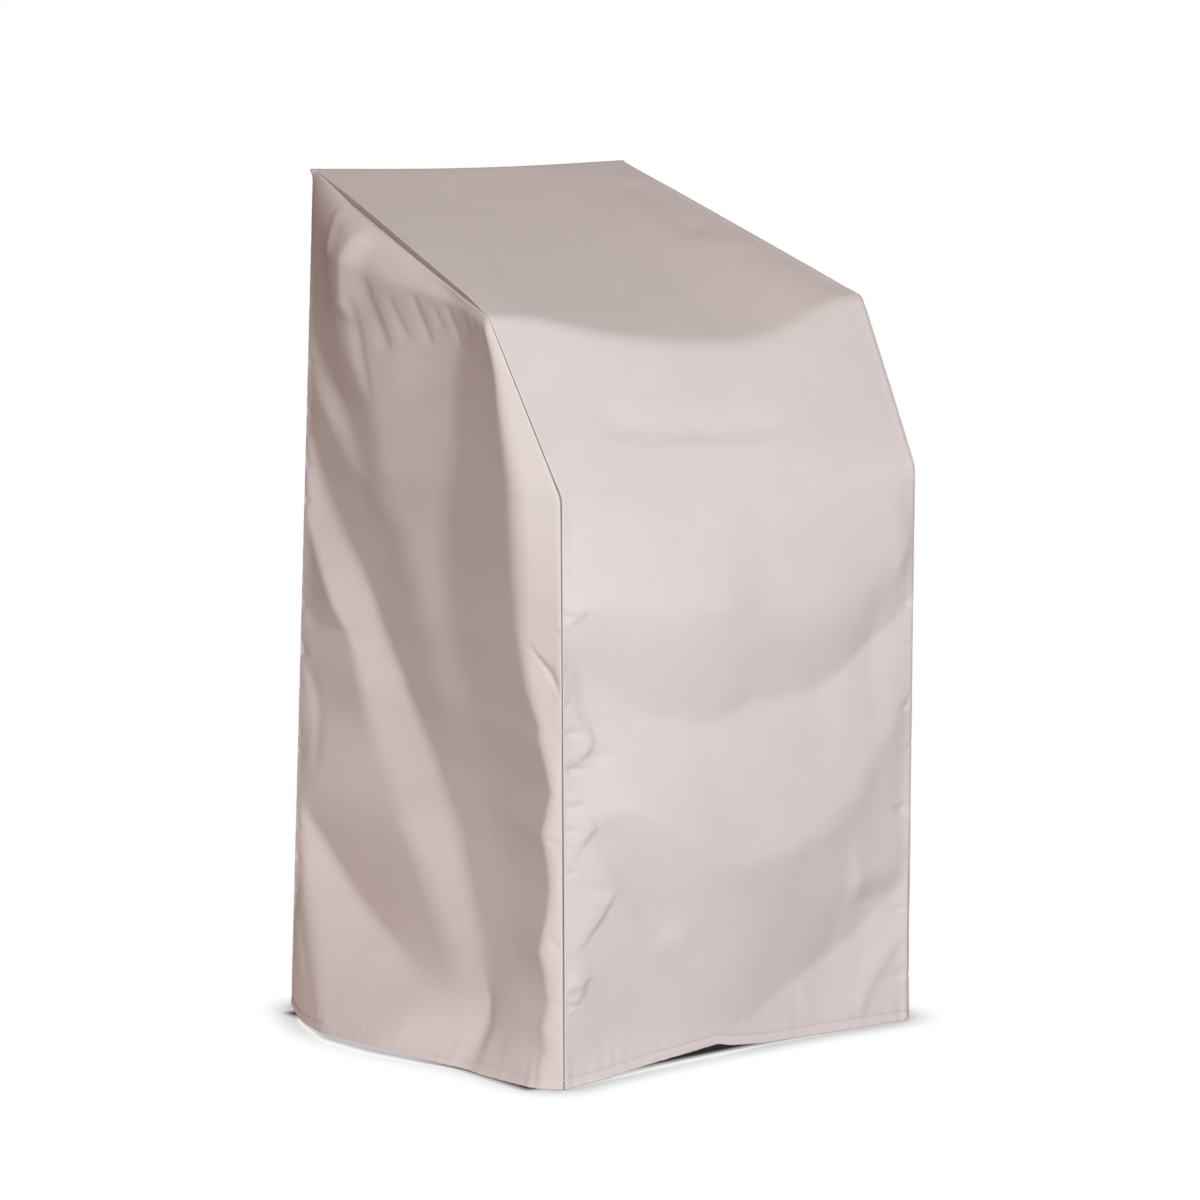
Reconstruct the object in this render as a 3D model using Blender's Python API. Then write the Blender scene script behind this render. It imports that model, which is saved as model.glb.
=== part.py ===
"""Stacking chair cover: a fitted cloth cover for a stack of garden chairs.

Three pieces of cloth are sewn along two seams. One long centre strip runs up
the back, over the sloping top, down the slope and down the front. A five-sided
panel closes each side. The cover is open below and hollow.

Metres, +Z up, front towards -Y. The origin is on the floor, under the middle.
"""
from collections import namedtuple

import bmesh
import bpy
import numpy as np

# Driving dimensions of the cover.
TOP_HEIGHT = 1.206          # floor to the seam's back corner
FRONT_EDGE_HEIGHT = 1.025   # floor to the corner where the top meets the slope
SLOPE_FOOT_HEIGHT = 0.793   # floor to the corner where the slope meets the front
DEPTH = 0.608               # front face to back face at seam level
SLOPE_DEPTH = 0.133         # how far the slope leans back from the front face
BACK_FLARE = 0.026          # how far the back's hem stands out behind its top

# Half the width from seam to seam at each corner of the seam.
HALF_WIDTH_BACK_HEM = 0.315
HALF_WIDTH_BACK_TOP = 0.280
HALF_WIDTH_FRONT_TOP = 0.334
HALF_WIDTH_SLOPE_FOOT = 0.317
HALF_WIDTH_FRONT_HEM = 0.313

CLOTH_THICKNESS = 0.002
SEAM_GAP = 0.0003           # clearance between two sewn pieces
FRONT_Y = -0.302            # the front face, placed so that the box is centred

# Rows of cloth between one seam corner and the next, and rows across the strip.
ROWS_BACK = 27
ROWS_TOP = 18
ROWS_SLOPE = 7
ROWS_FRONT = 20
COLUMNS = 16
EDGE_CROWDING = 1.3         # above 1, rows are closer together at the front

# Length of cloth over which each bend rounds off, at the seams and in the middle.
Bend = namedtuple("Bend", "at_seam in_middle")
BEND_BACK_TOP = Bend(0.006, 0.022)
BEND_FRONT_TOP = Bend(0.012, 0.024)
BEND_SLOPE_FOOT = Bend(0.010, 0.080)

FRONT_HOLLOW = 0.022        # how far the middle of the front hem stands back
FRONT_HEM_LIFT = 0.012      # how far the front hem clears the floor there
FRONT_LIFT_REACH = 0.16     # height over which that lift dies away
HEM_LIFT_REACH = 0.30       # height over which a side hem's lift dies away
SEAM_HOLD = 0.014           # distance from a seam over which folds die away
TOP_SEAM_LEAN = 0.94        # cosine of the angle between the top seam and the level
CREASE_ROUNDING = 0.06      # share of a fold's width that its crest rounds off
LEAST_STEP = 0.002          # least distance between two fold lines of a section
LEAST_SOFT = 0.001          # least rounding of a fold line

CLOTH_COLOUR = (0.600, 0.520, 0.490, 1.0)
CLOTH_ROUGHNESS = 0.55

# A fold runs from (from_a, from_b) to (to_a, to_b) and bows sideways by `bow`.
# It dies out `wide_l` to its left and `wide_r` to its right. `rise` is outwards,
# negative for a trough. `crisp` runs from 0, a soft wave, to 1, a sharp crease.
Fold = namedtuple("Fold", "from_a from_b to_a to_b bow wide_l wide_r rise crisp")

# A long fold is a line of stops: at `at` it passes `place`, stands `out`, and its
# corner is rounded over `soft` on each side.
Stop = namedtuple("Stop", "at place out soft")

# On a side panel a fold line's place is metres back from the front face, and its
# stops are heights above the floor.
LEFT_CREST = (
    Stop(0.000, 0.026, 0.022, 0.020),
    Stop(0.150, 0.020, 0.018, 0.020),
    Stop(0.300, 0.016, 0.014, 0.020),
    Stop(0.420, 0.018, 0.014, 0.020),
    Stop(0.520, 0.038, 0.021, 0.020),
    Stop(0.650, 0.056, 0.032, 0.020),
    Stop(0.800, 0.055, 0.041, 0.020),
    Stop(0.900, 0.088, 0.027, 0.015),
    Stop(0.960, 0.110, 0.014, 0.010),
    Stop(1.030, 0.138, 0.002, 0.006),
)
LEFT_HOLLOW = (
    Stop(0.000, 0.085, 0.032, 0.030),
    Stop(0.100, 0.095, 0.009, 0.030),
    Stop(0.200, 0.105, 0.000, 0.030),
    Stop(0.300, 0.150, -0.011, 0.030),
    Stop(0.400, 0.191, -0.021, 0.030),
    Stop(0.500, 0.224, -0.006, 0.030),
    Stop(0.600, 0.255, 0.000, 0.028),
    Stop(0.700, 0.265, 0.001, 0.024),
    Stop(0.800, 0.240, 0.012, 0.022),
    Stop(0.900, 0.236, 0.003, 0.016),
    Stop(1.000, 0.215, -0.009, 0.016),
    Stop(1.050, 0.220, -0.006, 0.020),
)
LEFT_SHOULDER = (
    Stop(0.000, 0.130, 0.035, 0.025),
    Stop(0.100, 0.138, 0.001, 0.025),
    Stop(0.200, 0.155, -0.008, 0.025),
    Stop(0.300, 0.200, -0.016, 0.025),
    Stop(0.400, 0.262, -0.029, 0.025),
    Stop(0.500, 0.292, -0.008, 0.030),
    Stop(0.600, 0.322, 0.003, 0.035),
    Stop(0.700, 0.358, 0.007, 0.035),
    Stop(0.800, 0.400, 0.020, 0.025),
    Stop(0.900, 0.432, 0.018, 0.022),
    Stop(1.000, 0.480, 0.016, 0.030),
    Stop(1.100, 0.450, 0.020, 0.030),
)
LEFT_LEDGE_FRONT = (
    Stop(0.000, 0.140, 0.036, 0.020),
    Stop(0.100, 0.148, -0.001, 0.020),
    Stop(0.300, 0.220, -0.018, 0.030),
    Stop(0.400, 0.285, -0.031, 0.025),
    Stop(0.500, 0.320, -0.012, 0.030),
    Stop(0.600, 0.350, -0.002, 0.030),
    Stop(0.700, 0.400, -0.001, 0.030),
    Stop(0.800, 0.448, 0.012, 0.015),
    Stop(0.900, 0.541, -0.003, 0.015),
    Stop(0.980, 0.605, 0.000, 0.015),
)
LEFT_LEDGE_BACK = (
    Stop(0.000, 0.148, 0.037, 0.020),
    Stop(0.100, 0.156, -0.003, 0.020),
    Stop(0.300, 0.240, -0.020, 0.030),
    Stop(0.400, 0.310, -0.033, 0.025),
    Stop(0.500, 0.350, -0.017, 0.030),
    Stop(0.600, 0.390, -0.008, 0.030),
    Stop(0.700, 0.450, -0.008, 0.030),
    Stop(0.800, 0.490, 0.011, 0.015),
    Stop(0.930, 0.606, 0.000, 0.015),
)
LEFT_LONG_VALLEY = (
    Stop(0.000, 0.165, 0.034, 0.015),
    Stop(0.100, 0.172, -0.007, 0.015),
    Stop(0.200, 0.213, -0.015, 0.016),
    Stop(0.300, 0.260, -0.022, 0.016),
    Stop(0.400, 0.340, -0.037, 0.015),
    Stop(0.500, 0.396, -0.025, 0.015),
    Stop(0.600, 0.455, -0.017, 0.015),
    Stop(0.700, 0.543, -0.018, 0.015),
    Stop(0.840, 0.610, 0.000, 0.015),
)
LEFT_BAND_EDGE = (
    Stop(0.000, 0.225, 0.052, 0.030),
    Stop(0.100, 0.240, 0.001, 0.030),
    Stop(0.200, 0.292, 0.000, 0.025),
    Stop(0.300, 0.352, 0.006, 0.022),
    Stop(0.400, 0.432, -0.006, 0.020),
    Stop(0.500, 0.466, 0.006, 0.015),
    Stop(0.600, 0.526, 0.014, 0.015),
    Stop(0.710, 0.608, 0.000, 0.015),
)
LEFT_LOW_VALLEY = (
    Stop(0.000, 0.330, 0.077, 0.025),
    Stop(0.100, 0.355, -0.002, 0.030),
    Stop(0.200, 0.530, -0.023, 0.015),
    Stop(0.330, 0.580, 0.003, 0.020),
    Stop(0.450, 0.560, -0.004, 0.020),
    Stop(0.600, 0.600, 0.000, 0.015),
)
LEFT_HEM_RIDGE = (
    Stop(0.000, 0.435, 0.084, 0.016),
    Stop(0.050, 0.478, 0.064, 0.018),
    Stop(0.100, 0.518, 0.044, 0.020),
    Stop(0.150, 0.566, 0.022, 0.018),
    Stop(0.200, 0.602, 0.004, 0.015),
    Stop(0.250, 0.612, 0.001, 0.015),
)
LEFT_HEM_CORNER = (
    Stop(0.000, 0.520, 0.058, 0.020),
    Stop(0.050, 0.550, 0.042, 0.020),
    Stop(0.100, 0.582, 0.026, 0.018),
    Stop(0.150, 0.604, 0.010, 0.015),
    Stop(0.200, 0.616, 0.000, 0.015),
)
LEFT_LINES = (
    LEFT_CREST, LEFT_HOLLOW, LEFT_SHOULDER, LEFT_LEDGE_FRONT, LEFT_LEDGE_BACK,
    LEFT_LONG_VALLEY, LEFT_BAND_EDGE, LEFT_LOW_VALLEY, LEFT_HEM_RIDGE, LEFT_HEM_CORNER,
)

RIGHT_CREST = (
    Stop(0.000, 0.022, 0.020, 0.020),
    Stop(0.150, 0.022, 0.018, 0.020),
    Stop(0.300, 0.022, 0.016, 0.020),
    Stop(0.440, 0.022, 0.014, 0.020),
    Stop(0.540, 0.036, 0.021, 0.020),
    Stop(0.640, 0.048, 0.028, 0.020),
    Stop(0.760, 0.050, 0.036, 0.020),
    Stop(0.900, 0.086, 0.024, 0.015),
    Stop(0.960, 0.110, 0.014, 0.010),
    Stop(1.030, 0.138, 0.002, 0.006),
)
RIGHT_HOLLOW = (
    Stop(0.000, 0.120, -0.004, 0.040),
    Stop(0.300, 0.170, -0.014, 0.040),
    Stop(0.600, 0.225, -0.004, 0.040),
    Stop(0.800, 0.235, 0.008, 0.035),
    Stop(1.000, 0.220, -0.008, 0.030),
)
RIGHT_SHOULDER = (
    Stop(0.000, 0.200, 0.004, 0.040),
    Stop(0.300, 0.255, 0.004, 0.040),
    Stop(0.600, 0.330, 0.010, 0.040),
    Stop(0.800, 0.390, 0.018, 0.040),
    Stop(1.000, 0.430, 0.016, 0.035),
)
RIGHT_LONG_VALLEY = (
    Stop(0.000, 0.260, -0.016, 0.030),
    Stop(0.200, 0.310, -0.024, 0.025),
    Stop(0.400, 0.385, -0.026, 0.015),
    Stop(0.600, 0.470, -0.020, 0.015),
    Stop(0.780, 0.560, -0.010, 0.015),
    Stop(0.900, 0.605, 0.000, 0.015),
)
RIGHT_BACK_RIDGE = (
    Stop(0.000, 0.400, 0.020, 0.030),
    Stop(0.200, 0.450, 0.008, 0.030),
    Stop(0.400, 0.515, 0.004, 0.025),
    Stop(0.550, 0.565, 0.006, 0.015),
    Stop(0.700, 0.605, 0.000, 0.015),
)
RIGHT_LINES = (RIGHT_CREST, RIGHT_HOLLOW, RIGHT_SHOULDER, RIGHT_LONG_VALLEY, RIGHT_BACK_RIDGE)

# How far each panel is pushed out just below its top seam, and over what width.
Swell = namedtuple("Swell", "back out wide")
LEFT_SWELL = (
    Swell(0.140, 0.003, 0.024),
    Swell(0.180, 0.008, 0.026),
    Swell(0.230, 0.013, 0.034),
    Swell(0.300, 0.020, 0.046),
    Swell(0.380, 0.027, 0.060),
    Swell(0.480, 0.029, 0.066),
    Swell(0.560, 0.020, 0.060),
    Swell(0.610, 0.012, 0.050),
)
RIGHT_SWELL = (
    Swell(0.140, 0.003, 0.024),
    Swell(0.240, 0.014, 0.034),
    Swell(0.340, 0.022, 0.050),
    Swell(0.440, 0.018, 0.060),
    Swell(0.540, 0.024, 0.060),
    Swell(0.610, 0.012, 0.050),
)
SWELL_STEPS = (0.0, 0.45, 0.80, 1.05, 1.50, 2.50, 4.50)
SWELL_SHARES = (0.0, 0.52, 0.88, 1.00, 0.90, 0.50, 0.00)

# On the centre strip a fold line's place is the length of cloth up from the front
# hem, and its stops are distances to the right of the middle.
FRONT_LOW_VALLEY = (
    Stop(-0.315, 0.015, 0.000, 0.015),
    Stop(-0.220, 0.045, -0.014, 0.016),
    Stop(-0.140, 0.046, -0.019, 0.018),
    Stop(-0.060, 0.038, -0.019, 0.016),
    Stop(0.020, 0.034, -0.021, 0.015),
    Stop(0.100, 0.078, -0.021, 0.015),
    Stop(0.180, 0.112, -0.025, 0.015),
    Stop(0.240, 0.146, -0.020, 0.015),
    Stop(0.315, 0.205, 0.000, 0.015),
)
FRONT_LOW_STEP = (
    Stop(-0.315, 0.215, 0.000, 0.015),
    Stop(-0.230, 0.226, 0.009, 0.015),
    Stop(-0.160, 0.182, 0.002, 0.020),
    Stop(-0.100, 0.160, 0.001, 0.020),
    Stop(0.000, 0.160, 0.006, 0.020),
    Stop(0.120, 0.190, 0.002, 0.020),
    Stop(0.180, 0.205, 0.001, 0.015),
    Stop(0.240, 0.224, -0.004, 0.015),
    Stop(0.315, 0.250, 0.000, 0.015),
)
FRONT_LOW_CREST = (
    Stop(-0.315, 0.360, 0.000, 0.015),
    Stop(-0.225, 0.370, 0.021, 0.015),
    Stop(-0.140, 0.334, 0.030, 0.015),
    Stop(-0.060, 0.286, 0.032, 0.016),
    Stop(0.020, 0.276, 0.029, 0.015),
    Stop(0.100, 0.292, 0.025, 0.016),
    Stop(0.180, 0.326, 0.017, 0.022),
    Stop(0.240, 0.395, 0.010, 0.022),
    Stop(0.315, 0.480, 0.000, 0.015),
)
FRONT_HIGH_VALLEY = (
    Stop(-0.315, 0.605, 0.000, 0.015),
    Stop(-0.240, 0.534, -0.006, 0.015),
    Stop(-0.180, 0.500, 0.000, 0.015),
    Stop(-0.100, 0.474, 0.005, 0.015),
    Stop(-0.030, 0.478, 0.006, 0.015),
    Stop(0.060, 0.492, 0.003, 0.015),
    Stop(0.140, 0.500, 0.000, 0.015),
    Stop(0.210, 0.540, -0.001, 0.015),
    Stop(0.270, 0.572, -0.003, 0.015),
    Stop(0.315, 0.592, 0.000, 0.015),
)
FRONT_HIGH_CREST = (
    Stop(-0.315, 0.650, 0.000, 0.020),
    Stop(-0.220, 0.642, 0.018, 0.030),
    Stop(-0.140, 0.632, 0.027, 0.030),
    Stop(-0.060, 0.630, 0.030, 0.030),
    Stop(0.020, 0.626, 0.027, 0.030),
    Stop(0.100, 0.630, 0.024, 0.030),
    Stop(0.180, 0.640, 0.020, 0.026),
    Stop(0.240, 0.658, 0.015, 0.020),
    Stop(0.315, 0.725, 0.000, 0.015),
)
FRONT_LINES = (
    FRONT_LOW_VALLEY, FRONT_LOW_STEP, FRONT_LOW_CREST, FRONT_HIGH_VALLEY, FRONT_HIGH_CREST,
)
FRONT_FOLDS_TOP = 0.80      # folds of the front end at this length of cloth

# How far the front edge of the top has slipped down the slope.
Slip = namedtuple("Slip", "right down")
TOP_EDGE = (
    Slip(-0.335, 0.000),
    Slip(-0.250, 0.009),
    Slip(-0.200, 0.022),
    Slip(-0.150, 0.034),
    Slip(-0.100, 0.045),
    Slip(-0.040, 0.053),
    Slip(0.020, 0.058),
    Slip(0.080, 0.061),
    Slip(0.150, 0.052),
    Slip(0.200, 0.036),
    Slip(0.250, 0.016),
    Slip(0.335, 0.000),
)

# Short folds of the strip, by distance to the right and length of cloth.
STRIP_FOLDS = (
    # The dent at the right edge of the top.
    Fold(0.236, 1.480, 0.226, 1.300, 0.004, 0.060, 0.060, -0.004, 0.2),
    # Slack across the hidden back.
    Fold(-0.300, 2.150, 0.020, 2.050, -0.015, 0.080, 0.080, -0.009, 0.4),
    Fold(0.020, 2.050, 0.290, 2.170, -0.015, 0.080, 0.080, -0.009, 0.4),
    Fold(-0.280, 2.480, 0.280, 2.430, -0.020, 0.110, 0.090, -0.010, 0.3),
)

# How far a side panel's hem stands out from the line between its two corners,
# and how far it clears the floor: a row for each point back from the front.
HemRow = namedtuple("HemRow", "back out lift")
LEFT_HEM = (
    HemRow(0.000, 0.000, 0.000),
    HemRow(0.130, 0.000, 0.000),
    HemRow(0.185, 0.000, 0.002),
    HemRow(0.250, 0.000, 0.005),
    HemRow(0.310, 0.000, 0.008),
    HemRow(0.380, 0.000, 0.008),
    HemRow(0.445, 0.000, 0.006),
    HemRow(0.530, 0.000, 0.003),
    HemRow(0.594, 0.000, 0.000),
    HemRow(0.640, 0.000, 0.000),
)
RIGHT_HEM = (
    HemRow(0.000, 0.000, 0.000),
    HemRow(0.033, 0.008, 0.000),
    HemRow(0.080, 0.026, 0.000),
    HemRow(0.160, 0.052, 0.004),
    HemRow(0.240, 0.084, 0.007),
    HemRow(0.330, 0.078, 0.004),
    HemRow(0.420, 0.050, 0.000),
    HemRow(0.520, 0.026, 0.002),
    HemRow(0.590, 0.006, 0.000),
    HemRow(0.640, 0.000, 0.000),
)

# Share of the hem's stand-out that is left at each height.
BULGE_HEIGHTS = (0.00, 0.05, 0.10, 0.20, 0.40, 0.70, 1.05)
BULGE_SHARES = (1.00, 0.74, 0.52, 0.32, 0.20, 0.08, 0.00)


def smooth(x):
    """Ease from 0 to 1 as x runs from 0 to 1."""
    x = np.clip(x, 0.0, 1.0)
    return x * x * (3.0 - 2.0 * x)


def eased(x, xs, ys):
    """A curve through a short table: cubic pieces whose slopes never overshoot."""
    xs, ys = np.asarray(xs, float), np.asarray(ys, float)
    steps = np.diff(ys) / np.diff(xs)
    same_way = steps[1:] * steps[:-1] > 0.0
    bend = np.zeros(len(steps) - 1)
    product, total = steps[1:] * steps[:-1], steps[1:] + steps[:-1]
    bend[same_way] = 2.0 * product[same_way] / total[same_way]
    slopes = np.concatenate([steps[:1], bend, steps[-1:]])
    x = np.clip(x, xs[0], xs[-1])
    i = np.clip(np.searchsorted(xs, x, side="right") - 1, 0, len(xs) - 2)
    span = xs[i + 1] - xs[i]
    t = (x - xs[i]) / span
    return (
        ys[i] * (1.0 + 2.0 * t) * (1.0 - t) ** 2
        + slopes[i] * span * t * (1.0 - t) ** 2
        + ys[i + 1] * t**2 * (3.0 - 2.0 * t)
        + slopes[i + 1] * span * t**2 * (t - 1.0)
    )


def rounded_ramp(x, soft):
    """0 before x = 0 and x after it, with the corner rounded over `soft` each way."""
    near = (x + soft) ** 2 / (4.0 * soft)
    return np.where(np.abs(x) < soft, near, np.clip(x, 0.0, None))


def folded_section(place, at, lines, start, end, start_out, end_out):
    """How far the cloth stands out at `place`, in the cross-section at `at`.

    The section is a chain of straight pieces through every fold line. It is summed
    as the first slope, plus the change of slope at each line times a rounded ramp.
    """
    places, outs, softs = [start], [start_out], []
    for k, line in enumerate(lines):
        ats = [stop.at for stop in line]
        here = eased(at, ats, [stop.place for stop in line])
        places.append(np.clip(here, places[-1] + LEAST_STEP, end - LEAST_STEP * (len(lines) - k)))
        outs.append(eased(at, ats, [stop.out for stop in line]))
        softs.append(eased(at, ats, [stop.soft for stop in line]))
    places.append(end)
    outs.append(end_out)
    slope = (outs[1] - outs[0]) / (places[1] - places[0])
    out = outs[0] + slope * (place - start)
    for k, soft in enumerate(softs, start=1):
        after = (outs[k + 1] - outs[k]) / (places[k + 1] - places[k])
        soft = np.minimum(soft, np.minimum(places[k] - start, end - places[k]))
        out = out + (after - slope) * rounded_ramp(place - places[k], np.maximum(soft, LEAST_SOFT))
        slope = after
    return out


def fold_relief(a, b, folds):
    """Height of the cloth above its plain surface at the points (a, b)."""
    relief = np.zeros_like(a)
    for fold in folds:
        run_a = fold.to_a - fold.from_a
        run_b = fold.to_b - fold.from_b
        length = np.hypot(run_a, run_b)
        da = a - fold.from_a
        db = b - fold.from_b
        along = (da * run_a + db * run_b) / length**2
        bowed = fold.bow * 4.0 * np.clip(along * (1.0 - along), -0.3, 0.25)
        across = (db * run_a - da * run_b) / length - bowed
        width = np.where(across > 0.0, fold.wide_l, fold.wide_r)
        share = np.sqrt((across / width) ** 2 + CREASE_ROUNDING**2) - CREASE_ROUNDING
        share = np.clip(share, 0.0, 1.0)
        soft = 0.5 + 0.5 * np.cos(np.pi * share)
        sharp = (1.0 - share) ** 2
        profile = (1.0 - fold.crisp) * soft + fold.crisp * sharp
        ends = smooth((along + 0.12) / 0.24) * smooth((1.12 - along) / 0.24)
        relief += fold.rise * profile * ends
    return relief


def seam_stations():
    """Cloth length along the seam at each row, and the seam's corners there."""
    back = np.hypot(TOP_HEIGHT, BACK_FLARE)
    top = np.hypot(DEPTH - SLOPE_DEPTH, TOP_HEIGHT - FRONT_EDGE_HEIGHT)
    slope = np.hypot(SLOPE_DEPTH, FRONT_EDGE_HEIGHT - SLOPE_FOOT_HEIGHT)
    front = SLOPE_FOOT_HEIGHT
    corners = np.cumsum([0.0, back, top, slope, front])
    shares_top = 1.0 - (1.0 - np.linspace(0.0, 1.0, ROWS_TOP + 1)) ** EDGE_CROWDING
    rows = [
        np.linspace(corners[0], corners[1], ROWS_BACK + 1)[:-1],
        (corners[1] + top * shares_top)[:-1],
        np.linspace(corners[2], corners[3], ROWS_SLOPE + 1)[:-1],
        np.linspace(corners[3], corners[4], ROWS_FRONT + 1),
    ]
    return np.concatenate(rows), corners


def seam_corner_points():
    """Half width, y and z of the seam at its five corners, back hem first."""
    back_y = FRONT_Y + DEPTH
    return np.array([
        (HALF_WIDTH_BACK_HEM, back_y + BACK_FLARE, 0.0),
        (HALF_WIDTH_BACK_TOP, back_y, TOP_HEIGHT),
        (HALF_WIDTH_FRONT_TOP, FRONT_Y + SLOPE_DEPTH, FRONT_EDGE_HEIGHT),
        (HALF_WIDTH_SLOPE_FOOT, FRONT_Y, SLOPE_FOOT_HEIGHT),
        (HALF_WIDTH_FRONT_HEM, FRONT_Y, 0.0),
    ])


def seam_path(rows, corners, middle, slip):
    """Half width, y and z at each row, for columns at each share `middle`.

    `middle` is 0 at a seam and 1 halfway between the two seams. Each bend rounds
    off over the length of cloth that its Bend gives for that column. `slip` is how
    far the front edge of the top lies down the slope, for each column.
    """
    fixed = seam_corner_points()
    points = np.repeat(fixed[:, None, :], len(middle), axis=1)
    down = (fixed[3] - fixed[2]) / (corners[3] - corners[2])
    points[2] += slip[:, None] * down
    ends = np.repeat(corners[:, None], len(middle), axis=1)
    ends[2] += slip
    ways = np.diff(points, axis=0) / np.diff(ends, axis=0)[:, :, None]
    path = np.repeat(points[:1], len(rows), axis=0)
    for i, way in enumerate(ways):
        passed = np.clip(rows[:, None] - ends[i], 0.0, ends[i + 1] - ends[i])
        path = path + passed[:, :, None] * way
    for i, bend in enumerate((BEND_BACK_TOP, BEND_FRONT_TOP, BEND_SLOPE_FOOT), start=1):
        blend = bend.at_seam + (bend.in_middle - bend.at_seam) * middle
        reach = np.clip(blend - np.abs(rows[:, None] - ends[i]), 0.0, None)
        path = path + (reach**2 / (4.0 * blend))[:, :, None] * (ways[i] - ways[i - 1])
    return path


def surface_normals(points):
    """Unit normals of a grid of points, from the slopes along both directions."""
    along = np.gradient(points, axis=0)
    across = np.gradient(points, axis=1)
    normal = np.cross(along, across)
    return normal / np.linalg.norm(normal, axis=-1, keepdims=True)


def table_columns(rows, *names):
    """The named columns of a table, each as a list."""
    return [[getattr(row, name) for row in rows] for name in names]


def strip_surface():
    """Outer face of the centre strip: rows from the back hem, columns from the left."""
    rows, corners = seam_stations()
    across = np.linspace(-1.0, 1.0, COLUMNS + 1)
    middle = 1.0 - across**2
    slip = eased(HALF_WIDTH_FRONT_TOP * across, *table_columns(TOP_EDGE, "right", "down"))
    slip[[0, -1]] = 0.0
    path = seam_path(rows, corners, middle, slip)
    points = path.copy()
    points[:, :, 0] = path[:, :, 0] * across
    outward = surface_normals(points)

    run = corners[4] - rows[:, None]
    from_seam = path[:, :, 0] * (1.0 - np.abs(across))
    hold = 1.0 - np.exp(-((from_seam / SEAM_HOLD) ** 2))
    run = np.broadcast_to(run, hold.shape)
    right = points[:, :, 0]
    hem_out = -FRONT_HOLLOW * middle
    relief = folded_section(run, right, FRONT_LINES, 0.0, FRONT_FOLDS_TOP, hem_out, 0.0)
    relief = np.where(run < FRONT_FOLDS_TOP, relief, 0.0)
    relief = (relief + fold_relief(right, run, STRIP_FOLDS)) * hold
    points += outward * relief[:, :, None]
    points[:, :, 2] += FRONT_HEM_LIFT * smooth(1.0 - run / FRONT_LIFT_REACH) * middle**2
    return points


def side_surface(sign, lines, swell, hem):
    """Outer face of a side panel: rows from the hem up, columns from the back.

    `sign` is -1 for the left panel and +1 for the right one.
    """
    rows, corners = seam_stations()
    seam = seam_path(rows, corners, np.zeros(1), np.zeros(1))[:, 0, :]
    back = seam[:ROWS_BACK + 1]
    top = seam[ROWS_BACK:ROWS_BACK + ROWS_TOP + 1]
    front = seam[ROWS_BACK + ROWS_TOP:][::-1]

    # Width share from back to front and height share from hem to top.
    u = (rows[ROWS_BACK:ROWS_BACK + ROWS_TOP + 1] - corners[1]) / (corners[2] - corners[1])
    v = np.linspace(0.0, 1.0, ROWS_BACK + 1)
    hem_line = back[0] + (front[0] - back[0]) * u[:, None]
    u, v = u[None, :, None], v[:, None, None]
    sides = back[:, None] * (1.0 - u) + front[:, None] * u
    ends = hem_line[None] * (1.0 - v) + top[None] * v
    corner_mix = (
        (back[0] * (1.0 - u) + front[0] * u) * (1.0 - v)
        + (back[-1] * (1.0 - u) + front[-1] * u) * v
    )
    points = sides + ends - corner_mix

    back_from_front = points[:, :, 1] - FRONT_Y
    height = points[:, :, 2]
    seam_heights = (0.0, SLOPE_FOOT_HEIGHT, FRONT_EDGE_HEIGHT, TOP_HEIGHT)
    front_place = np.interp(height, seam_heights, (0.0, 0.0, SLOPE_DEPTH, SLOPE_DEPTH))
    back_place = DEPTH + BACK_FLARE * (1.0 - height / TOP_HEIGHT)
    relief = folded_section(back_from_front, height, lines, front_place, back_place, 0.0, 0.0)

    # Folds die away at the back and top seams; the section already ends at the front.
    below_top = (1.0 - v[:, :, 0]) * TOP_HEIGHT * TOP_SEAM_LEAN
    from_back = u[:, :, 0] * DEPTH
    hold = 1.0 - np.exp(-((np.minimum(from_back, below_top) / SEAM_HOLD) ** 2))
    swell_out = eased(back_from_front, *table_columns(swell, "back", "out"))
    swell_wide = eased(back_from_front, *table_columns(swell, "back", "wide"))
    relief += swell_out * eased(below_top / swell_wide, SWELL_STEPS, SWELL_SHARES)

    out = eased(back_from_front, *table_columns(hem, "back", "out"))
    lift = eased(back_from_front, *table_columns(hem, "back", "lift"))
    flare = out * eased(height, BULGE_HEIGHTS, BULGE_SHARES)
    points[:, :, 0] += (relief + flare) * hold
    points[:, :, 2] += lift * smooth(1.0 - height / HEM_LIFT_REACH)
    points[:, :, 0] *= sign
    return points


def panel_edge(grid):
    """A side panel's sewn edge, from the back hem over the top to the front hem."""
    return np.concatenate([grid[:, 0], grid[-1, 1:], grid[:-1, -1][::-1]])


def set_panel_edge(grid, edge):
    """Put a sewn edge, in the order of panel_edge, back into a panel's grid."""
    rows = grid.shape[0]
    columns = grid.shape[1]
    grid[:, 0] = edge[:rows]
    grid[-1, 1:] = edge[rows:rows + columns - 1]
    grid[:-1, -1] = edge[rows + columns - 1:][::-1]


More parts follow.
